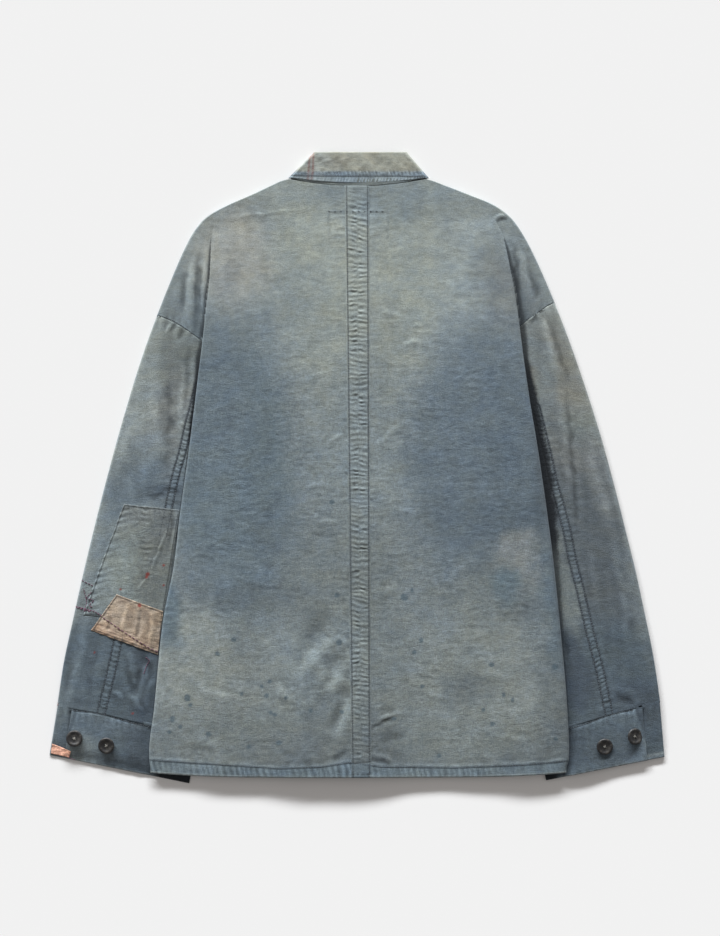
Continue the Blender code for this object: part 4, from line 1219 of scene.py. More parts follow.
def dropped(colour, drops, dye, x, y, share=0.8):
    for number, (dx, dy, radius) in enumerate(drops):
        near = np.hypot(x - dx, y - dy) < 3 * radius
        px = x[near] - dx
        py = y[near] - dy
        angle = np.arctan2(py, px)
        edge = radius * (1 + 0.07 * np.sin(2 * angle + number) + 0.04 * np.sin(3 * angle + number))
        mask = share * (1 - ease((np.hypot(px, py) - edge + 0.6) / 1.4))
        colour[near] = blend_in(colour[near], dye, mask)
    return colour


def relief_shade_and_wear(colour, relief, strength=0.3):
    """Ridges lighter and hollows darker by the local relief: painted highlight and shade, and
    ridges bleached by wear too.
    """
    above = np.clip(relief / 0.22, -1.2, 1.2)
    return colour * (1 + strength * above[..., None])


def toned(tones, y):
    heights = np.array([tone.height for tone in tones], float)
    colours = np.array([PAINT_COLOURS[tone.dye] for tone in tones])
    place = np.clip(y, heights[0], heights[-1])
    return pchip(colours, heights, place.ravel()).reshape(*y.shape, 3)


# Meshes --------------------------------------------------------------------

# A grid holds five values at each point: X, Y, Z, its relief, and a length across the cloth

def top_side(grid):
    """1 where the grid's own normals point up on its top layer, or else -1."""
    n = normals(grid[..., :3])[..., 2]
    top = grid[..., 2] > grid[..., 2].max() - 1.5
    return 1 if n[top].mean() > 0 else -1


def with_lengths(grid, side=RIGHT):
    """Add a place for the relief and the length across the cloth."""
    across = np.hypot(np.diff(grid[..., 0], axis=1), np.diff(grid[..., 2], axis=1))
    length = np.concatenate([np.zeros((len(grid), 1)), np.cumsum(across, axis=1)], axis=1)
    length = grid[:, :1, 0] + side * length
    return np.concatenate([grid, np.zeros_like(length)[..., None], length[..., None]], axis=2)


def displaced(grid, relief, sign, ring=False):
    """Move a grid out by its relief. Faces that look down are only pushed in."""
    points = grid[..., :3]
    if ring:
        wide = np.concatenate([points[:, -2:-1], points, points[:, 1:2]], axis=1)
        n = normals(wide)[:, 1:-1] * sign
    else:
        n = normals(points) * sign
    up = np.clip(n[..., 2], 0.0, 1.0)
    down = np.clip(-n[..., 2], 0.0, 1.0)
    amount = relief * up - 0.5 * np.abs(relief) * down
    moved = grid.copy()
    moved[..., :3] += n * amount[..., None]
    moved[..., 2] = np.maximum(moved[..., 2], LOWEST)
    moved[..., 3] = relief - blurred(relief, 4)
    return moved


def quads(index, flip):
    corners = (index[:-1, :-1], index[:-1, 1:], index[1:, 1:], index[1:, :-1])
    if flip:
        corners = corners[::-1]
    return np.stack([corner.ravel() for corner in corners], axis=1)


def joined_grids(grids, signs):
    """Points and faces of several grids. Points at the same place are one point."""
    faces = []
    start = 0
    for grid, sign in zip(grids, signs):
        index = start + np.arange(grid.shape[0] * grid.shape[1]).reshape(grid.shape[:2])
        faces.append(quads(index, sign < 0))
        start += index.size
    points = np.concatenate([grid.reshape(-1, 5) for grid in grids])
    faces = np.concatenate(faces)
    keys = np.round(points[:, :3] * 1000).astype(np.int64)
    _, first, same = np.unique(keys, axis=0, return_index=True, return_inverse=True)
    faces = same.ravel()[faces]
    whole = np.array([len(set(face)) == 4 for face in faces.tolist()])
    return points[first], faces[whole]


def linked(name, data):
    item = bpy.data.objects.new(name, data)
    bpy.context.scene.collection.objects.link(item)
    return item


def make_piece(name, points, faces, dye, seam, material, nodes):
    """A mesh of cloth or thread with its painted colour, painted shade and highlight included, and
    its distance from a seam at each point.
    """
    mesh = bpy.data.meshes.new(name)
    places = points[:, :3] - np.array([0.0, MIDDLE_Y, 0.0])
    mesh.vertices.add(len(places))
    mesh.vertices.foreach_set("co", (places * MM).astype(np.float32).ravel())
    mesh.loops.add(faces.size)
    mesh.loops.foreach_set("vertex_index", faces.astype(np.int32).ravel())
    mesh.polygons.add(len(faces))
    mesh.polygons.foreach_set("loop_start", np.arange(0, faces.size, 4, dtype=np.int32))
    mesh.update(calc_edges=True)
    mesh.shade_smooth()
    colour = mesh.color_attributes.new("dye", "FLOAT_COLOR", "POINT")
    rgba = np.concatenate([np.clip(dye, 0, 1), np.ones((len(dye), 1))], axis=1)
    colour.data.foreach_set("color", rgba.astype(np.float32).ravel())
    distance = mesh.attributes.new("seam", "FLOAT", "POINT")
    distance.data.foreach_set("value", np.clip(seam, 0, NO_SEAM).astype(np.float32))
    mesh.materials.append(material)
    piece = linked(name, mesh)
    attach(piece, "root")
    if nodes:
        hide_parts(*nodes)
    return piece


def cloth_piece(node, points, faces, dye, seam, material):
    """The shell of one solid."""
    return make_piece("cloth_" + node, points, faces, dye, seam, material, (node,))


def nearest_seam(lines, x, y):
    distance = np.full(x.shape, NO_SEAM)
    for points in lines:
        distance = np.minimum(distance, np.abs(beside(points, x, y)[0]))
    return distance


def tree_of(piece):
    return BVHTree.FromObject(piece, bpy.context.evaluated_depsgraph_get())


def level_on(trees, x, y):
    """Top of the pieces beneath each point."""
    level = np.zeros(x.shape)
    down = Vector((0.0, 0.0, -1.0))
    for place in np.ndindex(x.shape):
        start = Vector((x[place] * MM, (y[place] - MIDDLE_Y) * MM, 0.05))
        for tree in trees:
            hit = tree.ray_cast(start, down)[0]
            if hit is not None:
                level[place] = max(level[place], hit.z / MM)
    return level


def laid(grid, under, lift, softness):
    """Lay a flat grid over the levels beneath it, a little smoother than they are."""
    grid[..., 2] = np.maximum(blurred(under, softness) + lift, under + 0.35 * lift)
    return grid


def patch_grid(corners, step):
    """Flat grid over a four-cornered patch, whose rows run down from its first side."""
    a, b, c, d = (np.array(corner, float) for corner in corners)
    across = math.ceil(max(np.linalg.norm(b - a), np.linalg.norm(c - d)) / step)
    along = math.ceil(max(np.linalg.norm(d - a), np.linalg.norm(c - b)) / step)
    u = np.linspace(0, 1, across + 1)[None, :, None]
    v = np.linspace(0, 1, along + 1)[:, None, None]
    flat = lerp(lerp(a, b, u), lerp(d, c, u), v)
    return np.concatenate([flat, np.zeros((*flat.shape[:2], 1))], axis=2)


# Materials -----------------------------------------------------------------

class Nodes:
    """Short way to write a node tree."""

    def __init__(self, name):
        self.material = bpy.data.materials.new(name)
        self.material.use_nodes = True
        self.tree = self.material.node_tree
        self.tree.nodes.clear()

    def add(self, kind, inputs=None, **settings):
        node = self.tree.nodes.new(kind)
        for key, value in settings.items():
            setattr(node, key, value)
        for key, value in (inputs or {}).items():
            if isinstance(value, bpy.types.NodeSocket):
                self.tree.links.new(value, node.inputs[key])
            else:
                node.inputs[key].default_value = value
        return node

    def math(self, operation, *values):
        return self.add("ShaderNodeMath", dict(enumerate(values)), operation=operation).outputs[0]

    def remap(self, value, low, high, to_low, to_high):
        inputs = {"Value": value, "From Min": low, "From Max": high, "To Min": to_low,
                  "To Max": to_high}
        return self.add("ShaderNodeMapRange", inputs, interpolation_type="SMOOTHSTEP").outputs[0]

    def stretched_noise(self, place, scale, detail, bent=0.0):
        """Noise with a scale of its own along each axis, per metre."""
        mapped = self.add("ShaderNodeMapping", {"Vector": place, "Scale": scale})
        inputs = {"Vector": mapped.outputs[0], "Scale": 1.0, "Detail": detail,
                  "Distortion": bent}
        return self.add("ShaderNodeTexNoise", inputs).outputs["Fac"]

    def scaled(self, colour, factor):
        inputs = {0: 1.0, 6: colour, 7: factor}
        return self.add("ShaderNodeMix", inputs, data_type="RGBA",
                        blend_type="MULTIPLY").outputs[2]

    def surfaced(self, inputs):
        """Finish the material with a surface of these inputs."""
        shader = self.add("ShaderNodeBsdfPrincipled", inputs)
        self.add("ShaderNodeOutputMaterial", {"Surface": shader.outputs[0]})
        return self.material


def grey(nodes, value):
    """A number as a grey colour socket."""
    return nodes.add("ShaderNodeCombineColor", {0: value, 1: value, 2: value}).outputs[0]


WEAVE = 1700.0            # waves of the plain weave in a metre


def cloth_material(name, slub=0.11, tint=(0.75, 0.85, 0.95)):
    """Washed woven cotton: slubs, a plain weave, faded grain, and dark sewn lines."""
    n = Nodes(name)
    place = n.add("ShaderNodeTexCoord").outputs["Object"]
    dye = n.add("ShaderNodeVertexColor", layer_name="dye").outputs["Color"]
    seam = n.add("ShaderNodeAttribute", attribute_name="seam").outputs["Fac"]

    weft = n.stretched_noise(place, (240.0, 720.0, 240.0), 4.0)
    warp = n.stretched_noise(place, (720.0, 220.0, 220.0), 3.0)
    grain = n.stretched_noise(place, (800.0, 800.0, 800.0), 2.0)
    blotch = n.stretched_noise(place, (90.0, 90.0, 90.0), 4.0)
    crinkle = n.stretched_noise(place, (130.0, 330.0, 130.0), 3.0, 0.9)
    tone = n.math("ADD", n.remap(weft, 0.3, 0.7, -slub, slub),
                  n.remap(warp, 0.3, 0.7, -0.8 * slub, 0.8 * slub))
    tone = n.math("ADD", tone, n.remap(grain, 0.3, 0.7, -0.13, 0.13))
    split = n.add("ShaderNodeSeparateXYZ", {"Vector": place})
    calm = n.remap(split.outputs["Y"], 0.05, 0.24, 1.0, 0.6)
    tone = n.math("MULTIPLY", tone, calm)
    tone = n.math("ADD", tone, n.remap(blotch, 0.3, 0.7, -0.07, 0.07))
    groove = n.remap(seam, 0.3, 1.3, -0.5, 0.0)
    tone = n.math("ADD", n.math("ADD", tone, groove), 1.0)
    colour = n.scaled(dye, grey(n, tone))

    warp_wave = n.math("SINE", n.math("MULTIPLY", split.outputs["X"], WEAVE * math.tau))
    weft_wave = n.math("SINE", n.math("MULTIPLY", split.outputs["Y"], WEAVE * math.tau))
    weave_height = n.math("MULTIPLY", n.math("MULTIPLY", warp_wave, weft_wave), 0.3)
    fuzz = n.math("ADD", n.math("MULTIPLY", weft, 0.8), n.math("MULTIPLY", warp, 0.6))
    fuzz = n.math("ADD", fuzz, n.math("MULTIPLY", crinkle, 2.2))
    height = n.math("ADD", n.math("ADD", weave_height, fuzz), grain)
    bump = n.add("ShaderNodeBump", {"Height": height, "Distance": 0.0002, "Strength": calm})
    return n.surfaced({
        "Base Color": colour, "Roughness": 0.93, "Normal": bump.outputs[0],
        "Sheen Weight": 0.2, "Sheen Roughness": 0.6, "Sheen Tint": (*tint, 1.0),
        "Specular IOR Level": 0.25,
    })


# Cloth pieces --------------------------------------------------------------

PINCH = {LEFT: 638.0, RIGHT: 648.0}       # heights where the side folds begin
# How much higher the soft hem stands than its solid, across the back
HEM_LIFTS = ((-245, -4.4), (-190, -4.2), (-160, -1.0), (-130, 2.4), (-67, 5.4), (-10, 3.6),
             (60, 1.4), (90, 1.2), (150, 2.0), (190, -0.6), (215, -1.8), (245, -3.0))
SLEEVE_ROWS = (0.0, 0.05, 0.13, 0.23, 0.34, 0.45, 0.56, 0.67, 0.78, 0.89, 1.0)
FINE = 1.5
HIDDEN = 5.0
# How far a cuff's lower edge is lowered, near the body and further out (below 0 it is raised)
CUFF_SINK = {LEFT: (3.6, 3.6), RIGHT: (-1.4, 0.5)}
CUFF_ROWS = (-0.05, 0.5, 1.0)             # places of the sections that the cage is made of
CUFF_STITCH = 1.5                         # stitches below a cuff's upper edge
CUFF_SEAM_END = {LEFT: 337.0, RIGHT: 325.0}


def back_colour(points):
    x, y, _, relief, across = points.T
    colour = painted("washed", BACK_ZONES, x, y, 60)
    away = np.abs(beside(HEM_STITCH, x, y)[0])
    label = np.abs(beside(LABEL_STITCHES, x, y)[0])
    colour = blend_in(colour, "ink", 0.4 * bell(label / 1.0))
    below = y < np.interp(x, *zip(*HEM_STITCH))
    colour = blend_in(colour, "blue", np.where(below, 0.6, 0.5 * np.exp(-away / 3.0)))
    colour = mottled(colour, across, y, 64)
    colour = relief_shade_and_wear(colour, relief, 0.36)
    out = np.abs(x)
    far = out - np.where(x < 0, table(FOLD, "left", y), table(FOLD, "right", y))
    lobe = (y > 500) * (far > 0)
    shade = np.where(x < 0, gap_shade(LEFT, x, y), gap_shade(RIGHT, x, y))
    # Painted shade on the lobe beyond the side fold: a broad darker band and a near-black line next
    # to the fold, both fading out towards the shoulder.
    lower = ease((632 - y) / 90)
    colour = blend_in(colour, "slate", 0.6 * lower * lobe * bell((far - 9) / 8.0))
    colour = blend_in(colour, "ink", 0.55 * lower * lobe * bell((far - 1.5) / 2.4))
    # Painted shade along the inside of the body's right fold, below the armpit, where the fold
    # rounds away from the light.
    edge = (x > 0) * ease((450 - y) / 60) * bell(np.clip(-far, 0, 99) / 7.0)
    colour = blend_in(colour, "smoke", 0.5 * edge)
    # Painted highlight along the hem's turned edge, against the shade of its roll; it stands for a
    # bleached edge as well.
    lit_and_bleached_hem = 1 - ease((y - hem_curve(HEM_ROW, out) - 0.8) / 1.6)
    colour = blend_in(colour, "chalk", 0.5 * lit_and_bleached_hem)
    colour = blend_in(colour, "black", shade * lobe)
    return dropped(colour, BACK_DROPS, "dot", x, y)


def build_back(side, material):
    cages = [lower_section(side, height) for height in lower_heights()]
    rims = [upper_section(side, row) for row in UPPER_ROWS]
    cage = placed(side, cages + [row[:18] for row in rims], lean=True)
    rim_cage = placed(side, [row[17:] for row in rims])
    steps = [FINE] * 9 + [1.1] * 4 + [HIDDEN] * 4
    rim_steps = [2.0] * 4 + [FINE] * 5 + [0.9] * 5 + [HIDDEN]
    across = resample_columns(cage, steps)
    rim = resample_columns(rim_cage, rim_steps)
    spans = np.linalg.norm(np.diff(cage, axis=0), axis=2).mean(axis=1)
    row_steps = np.full(spans.shape, FINE)
    main = resample(across, spans, row_steps)
    below = len(cages)
    rim = resample(rim, spans[below:], row_steps[below:])
    rim[:, 0] = main[-len(rim):, -1]
    main, rim = flat_shoulder(side, main, rim)
    main = with_lengths(main, side)
    rim = with_lengths(rim, side)
    rim[..., 4] = rim[..., 0]
    sign = top_side(main)
    main = displaced(main, back_relief(main[..., 4], main[..., 1]), sign)
    lift = np.interp(main[..., 0], *zip(*HEM_LIFTS))
    lift = np.where(lift < 0, lift * np.clip((main[..., 2] - 4.2) / 6.5, 0, 1), lift)
    above = np.clip(main[..., 1] - HEM_ROW, 0, 400)
    main[..., 2] += lift * bell(above / np.where(lift < 0, 50.0, 70.0))
    rim = displaced(rim, back_relief(rim[..., 0], rim[..., 1]), sign)
    main = hemmed(main, ("low",), 0.9)
    rim = hemmed(rim, ("low",), 0.7)
    points, faces = joined_grids((main, rim), (sign, sign))
    seams = nearest_seam((HEM_STITCH,), points[:, 0], points[:, 1])
    return cloth_piece("back_" + NAMES[side], points, faces, back_colour(points), seams, material)


def flat_shoulder(side, main, rim):
    """Above the pinch where the side fold begins, the back runs on to the shoulder's edge."""
    wide = np.concatenate([main[-len(rim):], rim[:, 1:]], axis=1)
    for row in wide:
        last = int(np.argmax(np.abs(row[:, 0])))
        out = np.maximum.accumulate(np.abs(row[:last, 0]))
        start = 0.55 * out[-1]
        inner, edge = np.interp((start, out[-1] - 2.5), out, row[:last, 2])
        flat = lerp(inner, edge, ease((out - start) / (out[-1] - start)))
        flat = np.where(out < start, row[:last, 2], flat)
        share = ease((row[:last, 1] - PINCH[side]) / 20.0) * ease((out[-1] - out - 2.0) / 4.0)
        row[:last, 2] = lerp(row[:last, 2], flat, share)
    split = main.shape[1]
    main[-len(rim):] = wide[:, :split]
    return main, wide[:, split - 1:]


def build_front(side, material):
    placket = OUTER_PLACKET if side == LEFT else INNER_PLACKET
    grid = refine(placed(side, front_rows(side, PLACKET, placket)), 3.5, 3.5)
    grid = with_lengths(grid, side)
    x, y = grid[..., 0], grid[..., 1]
    relief = np.clip(washed(x, y, 71 + side), -0.5, 0.5)
    grid[..., 3] = relief
    grid[..., 2] += np.maximum(0.6 * relief, -0.45) * (grid[..., 2] < 3.0)
    points, faces = joined_grids((grid,), (top_side(grid),))
    x, y, _, relief, _ = points.T
    colour = mottled(painted("washed", BACK_ZONES, x, y, 75), x, y, 76)
    stitched = ((-side * PLACKET_STITCH, 8.0), (-side * PLACKET_STITCH, FRONT_NECK - 2.0))
    seams = nearest_seam((stitched,), x, y)
    return cloth_piece("front_" + NAMES[side], points, faces, relief_shade_and_wear(colour, relief), seams,
                       material)


# Width of the dark strip beside the body's fold, where hardly any light falls, by height
GAP_SHADE = (
    Reach(0, 0.6, 0.4),
    Reach(120, 0.6, 1.2),
    Reach(203, 0.8, 4.4),
    Reach(262, 1.0, 7.2),
    Reach(286, 1.2, 9.0),
    Reach(307, 0.6, 10.6),
    Reach(335, 0.6, 12.0),
    Reach(363, 0.8, 13.0),
    Reach(392, 1.2, 13.4),
    Reach(415, 2.6, 13.0),
    Reach(432, 3.4, 12.0),
    Reach(455, 4.0, 10.0),
    Reach(491, 4.8, 7.5),
    Reach(518, 4.2, 7.0),
    Reach(545, 3.8, 7.4),
    Reach(573, 3.4, 6.6),
    Reach(625, 2.2, 4.0),
    Reach(645, 0.0, 0.0),
)


def gap_shade(side, x, y):
    """1 beside the body's fold, down to 0 outside the dark strip."""
    wide = table(GAP_SHADE, NAMES[side], y) * (1 + 0.4 * noise(y / 17, 0.5, 171 + side))
    out = np.abs(x) - table(FOLD, NAMES[side], y)
    deep = 1 - 0.25 * ease((y - 470) / 60) - 0.35 * ease((290 - y) / 30)
    grain = 0.5 * noise(x / 1.7, y / 1.7, 173) + 0.3 * noise(x / 4, y / 6, 174)
    grain *= ease((500 - y) / 60)
    return deep * ease((wide - out) / (1.5 + 0.45 * wide) + 0.35 + grain) * ease(wide / 0.8)


RIM_HEIGHTS = np.arange(60.0, 620.0, 10.0)


def sleeve_colour(side, points):
    x, y, _, relief, across = points.T
    colour = toned(SLEEVE_TONES[side], y + 10 * noise(x / 30, y / 30, 80 + side))
    colour = zoned(colour, SLEEVE_ZONES[side], x, y, 81)
    for seam in SLEEVE_SEAMS[side]:
        d = np.abs(beside(seam.points, x, y)[0])
        colour = blend_in(colour, "slate", 0.35 * (1 - ease((d - seam.half + 1.0) / 2.0)))
        colour = blend_in(colour, "ink", 0.75 * bell((d - seam.half) / 1.3))
    outer = np.interp(y, RIM_HEIGHTS, [reach(side, height) for height in RIM_HEIGHTS])
    rim = np.exp(-np.clip(outer - np.abs(x), 0, 99) / 5.0) * ease((y - 150) / 120)
    colour = blend_in(colour, "chalk", 0.5 * rim)
    colour = relief_shade_and_wear(mottled(colour, across, y, 85 + side), relief)
    colour = dropped(colour, RED_DROPS, "rust", x, y, 0.9)
    return blend_in(colour, "black", gap_shade(side, x, y))


def build_sleeve(side, material):
    cage = placed(side, [sleeve_ring(side, t) for t in SLEEVE_ROWS])
    steps = [FINE] * 6 + [4.0] + [3.0] * 4 + [HIDDEN] * 7 + [2.5] * 3 + [1.1] * 3
    grid = refine(cage, FINE, steps)
    grid[..., 1] += joint_bow(grid[..., 0]) * np.exp(-(grid[..., 1] - 60) / 22.0)
    grid = with_lengths(grid, side)
    sign = top_side(grid)
    relief = sleeve_relief(side, grid[..., 0], grid[..., 1])
    relief *= ease((grid[..., 1] - cuff_joint(side, grid[..., 0]) - 2.5) / 5)
    grid = displaced(grid, relief, sign, ring=True)
    grid[:, -1] = grid[:, 0]
    grid = hemmed(grid, ("low", "high"), 0.35)
    points, faces = joined_grids((grid,), (sign,))
    seams = seam_distance(SLEEVE_SEAMS[side], points[:, 0], points[:, 1])
    seams = np.where(points[:, 2] > 2.5, seams, NO_SEAM)
    return cloth_piece("sleeve_" + NAMES[side], points, faces, sleeve_colour(side, points), seams,
                       material)


def cuff_height(side, x, y):
    """Height above the cuff's lower edge."""
    cuff = CUFFS[side]
    low = np.interp(np.abs(x), (cuff.inner_low[0], cuff.outer_low[0]),
                    (cuff.inner_low[1], cuff.outer_low[1]))
    return y - low


def joint_bow(x):
    """The sewn line at the cuff rises a little in its middle."""
    return 3.4 * bell((np.abs(x) - 302) / 24.0)


def cuff_joint(side, x):
    """Height of the line where a sleeve meets its cuff."""
    (outer, outer_y), (inner, inner_y) = CUFFS[side][:2]
    return np.interp(np.abs(x), (inner, outer), (inner_y, outer_y)) + joint_bow(x)


CUFF_ZONES = {
    LEFT: (
        Zone(258, 34, 18, 26, "ink", 0.75, 10),
        Zone(330, 16, 34, 18, "faded", 0.7),
        Zone(262, 8, 34, 16, "ink", 0.4),
        Zone(286, 50, 24, 12, "indigo", 0.5, 8),
        Zone(340, 16, 26, 16, "washed", 0.8),
    ),
    RIGHT: (
        Zone(246, 34, 22, 30, "ink", 0.6, 10),
        Zone(335, 10, 30, 15, "indigo", 0.6),
        Zone(310, 40, 26, 14, "slate", 0.6, 8),
        Zone(352, 22, 14, 14, "washed", 0.6),
        Zone(300, 22, 28, 18, "ink", 0.5),
    ),
}


def cuff_lap(side):
    """Distance out to the middle of the cuff's free edge."""
    cuff = CUFFS[side]
    top = lerp(cuff.outer_top[0], cuff.inner_top[0], cuff.lap)
    low = lerp(cuff.outer_low[0], cuff.inner_low[0], cuff.lap)
    return (top + low) / 2


def build_cuff(side, material):
    cage = placed(side, [cuff_section(side, t) for t in CUFF_ROWS])
    spans = cage.shape[1] - 1
    steps = [1.5] * 3 + [1.2] * 4 + [HIDDEN] * (spans - 9) + [1.2] * 2
    grid = refine(cage, 1.2, steps)
    grid = with_lengths(grid, side)
    sign = top_side(grid)
    grid[..., 1] += joint_bow(grid[..., 0]) * ease((grid[..., 1] - 30) / 40)
    x, y = grid[..., 0], grid[..., 1]
    up = cuff_height(side, x, y)
    below = cuff_joint(side, x) - y
    outside = ease((np.abs(x) - cuff_lap(side) + 2.5) / 2.5)
    under = np.clip(CUFF_TOP - 0.3 - grid[..., 2], 0, None) * (grid[..., 2] > 2.9)
    grid[..., 2] += ease((up - 3) / 30) * under * outside
    ending = ease((np.abs(x) - CUFF_SEAM_END[side] + 2) / 8)
    level = EDGE + lerp(-0.2, 0.03 - 0.06 * ease((-below - 2) / 1), ending)
    meets = (1 - ease(below / 6)) * (grid[..., 2] > 2.9)
    grid[..., 2] = lerp(grid[..., 2], level, meets)
    sink = lerp(*CUFF_SINK[side], ease((np.abs(x) - 265) / 45))
    sunk = sink * bell(up / 12.0) * np.clip((grid[..., 2] - 1) / 4, 0, 1)
    grid[..., 2] -= sunk
    relief = 0.8 * washed(x, y, 101 + side)
    top = np.exp(-np.clip(below, 0, 60) / 9.0)
    relief += 0.2 * top * rungs(x + 4 * noise(y / 9, x / 20, 108), 8.0, 103 + side)
    relief += 0.25 * bell(up / 6.0) * noise(x / 5.5, y / 12, 107 + side)
    relief *= ease((below + 0.5) / (1.5 + 4 * ending))
    sewn = ease((CUFF_SEAM_END[side] - np.abs(x)) / 6)
    relief -= 0.3 * sewn * bell((below - CUFF_STITCH) / 0.9)
    grid = displaced(grid, relief, sign)
    grid = hemmed(grid, ("high",), 0.9)
    grid = hemmed(grid, ("low", "last"), 0.4)
    points, faces = joined_grids((grid,), (sign,))
    x, y, _, relief, across = points.T
    up = cuff_height(side, x, y)
    out = np.abs(x)
    cuff = CUFFS[side]
    colour = painted("slate", (), x, y, 105)
    colour = blend_in(colour, "indigo", 0.5 * ease((out - cuff.inner_low[0] - 30) / 100))
    colour = zoned(colour, CUFF_ZONES[side], out, up, 107)
    sleeve = zoned(toned(SLEEVE_TONES[side], y), SLEEVE_ZONES[side], x, y, 81)
    slant = cuff_lap(side) + np.interp(y, (45, 85), (2.0, -11.0))
    past = ease((out - slant) / 3.0 + 0.5)[:, None]
    colour = colour + (sleeve - colour) * past
    stitched = past[:, 0] * bell((up - 4.5) / 2.2) * (side == RIGHT)
    colour = blend_in(colour, "chalk", 0.4 * stitched)
    # Painted highlight along the cuff's turned lower edge, against the shade of its roll, and a
    # bleached edge as well.
    colour = blend_in(colour, "chalk", 0.4 * (1 - ease((up - 0.3) / 1.4)))
    # Painted shade: the cuff's inner corner, deep under the body's hem, goes near black.
    hidden = ease((240 - out) / 8) * ease((16 - y) / 4)
    colour = blend_in(colour, "black", 0.95 * hidden)
    colour = relief_shade_and_wear(mottled(colour, across, y, 106 + side), relief, 0.4)
    colour = blend_in(colour, "black", 0.6 * gap_shade(side, x, y))
    below = cuff_joint(side, x) - y
    seams = np.where(out < CUFF_SEAM_END[side], np.abs(below - CUFF_STITCH), NO_SEAM)
    return cloth_piece("cuff_" + NAMES[side], points, faces, colour, seams, material)


def ladder(across, along, period, seed):
    """Puckers of a sewn-down strap: each half has its own short bars."""
    total = np.zeros(across.shape)
    for half, side in ((across < 0, LEFT), (across >= 0, RIGHT)):
        a = np.abs(across[half])
        s = along[half]
        lean = 0.10 + 0.5 * noise(s / 33, 0.5 + side, seed)
        bent = s - lean * a * -side + 1.6 * noise(a / 5.0, s / 7.0, seed + 7 + side)
        bars = rungs(bent, period, seed + 2 * side + 3)
        size = np.clip(0.85 + 1.3 * noise(a / 6.0, s / 7.0, seed + 11 + side), 0.2, 1.5)
        total[half] = size * bars + 0.35 * noise(a / 3.0, bent / 2.6, seed + 9)
    return total


def build_strap(backs, material):
    heights = np.arange(HEM_ROW - 0.6, BACK_NECK + 1.0, 1.1)
    half = strap_half(heights) + STRAP_OVER
    share = np.linspace(-1, 1, 29)[None, :]
    x = centre_x(heights)[:, None] + half[:, None] * share
    x = x + 0.7 * noise(heights / 34, 0.5, 110)[:, None]
    y = np.broadcast_to(heights[:, None], x.shape)
    under = level_on(backs, x, y)
    grid = laid(np.stack([x, y, np.zeros_like(x)], axis=2), under, 0.55, 4)
    across = share * half[:, None]
    inner = 1 - (np.abs(across) / (half[:, None] - STRAP_STITCH)) ** 2
    pinned = np.sqrt(np.clip(inner, 0, 1)) * (1 - 0.45 * bell(across / 1.6))
    bars = ladder(np.broadcast_to(across, x.shape), y, 5.8, 111)
    strong = ease((700 - y) / 24) * ease((y - 26) / 5)
    relief = pinned * (0.15 + (0.12 + 0.32 * strong) * bars) + 0.4 * washed(x, y, 114)
    relief += 0.35 * bell((y - 29) / 3.0) - 0.4 * bell((y - 23) / 0.9)
    stitched = np.abs(np.abs(across) - (half[:, None] - STRAP_STITCH))
    relief -= 0.3 * bell(stitched / 0.8)
    relief -= 0.45 * ease((np.abs(across) - half[:, None] + 1.6) / 1.6)
    grid = with_lengths(grid)
    sign = top_side(grid)
    grid = displaced(grid, relief, sign)
    # Only the ladder's bars drive the strap's painted highlight and shade.
    grid[..., 3] = 0.16 * bars * pinned * strong
    grid = hemmed(grid, ("low", "high", "first", "last"), 0.4)
    points, faces = joined_grids((grid,), (sign,))
    x, y, _, relief, _ = points.T
    colour = painted("washed", BACK_ZONES, x, y, 60)
    colour = blend_in(colour, "blue", 0.5 * ease((24 - y) / 2))
    colour = relief_shade_and_wear(mottled(colour, x, y, 115), relief, 0.5)
    middle = np.abs(x - centre_x(y))
    seams = np.abs(middle - (strap_half(y) + STRAP_OVER - STRAP_STITCH))
    return cloth_piece("centre_back_strap", points, faces, colour, seams, material)


FALL_STITCH = ((-78, 715.0), (-40, 714.4), (0, 714.2), (45, 714.4), (84, 713.6))
RED_LINES = (
    ((-51.9, 744.6), (-55.8, 734.6), (-56.4, 728.0), (-57.3, 719.2), (-57.8, 710.4)),
    ((-51.4, 743.4), (-51.9, 721.0), (-53.5, 710.4)),
)
COLLAR_STAINS = (Zone(-24, 737, 14, 9, "stain", 0.45),
                 Zone(16, 736, 11, 8, "stain", 0.3),
                 Zone(60, 715, 30, 6, "stain", 0.3),
                 Zone(-52, 732, 20, 16, "chalk", 0.5))


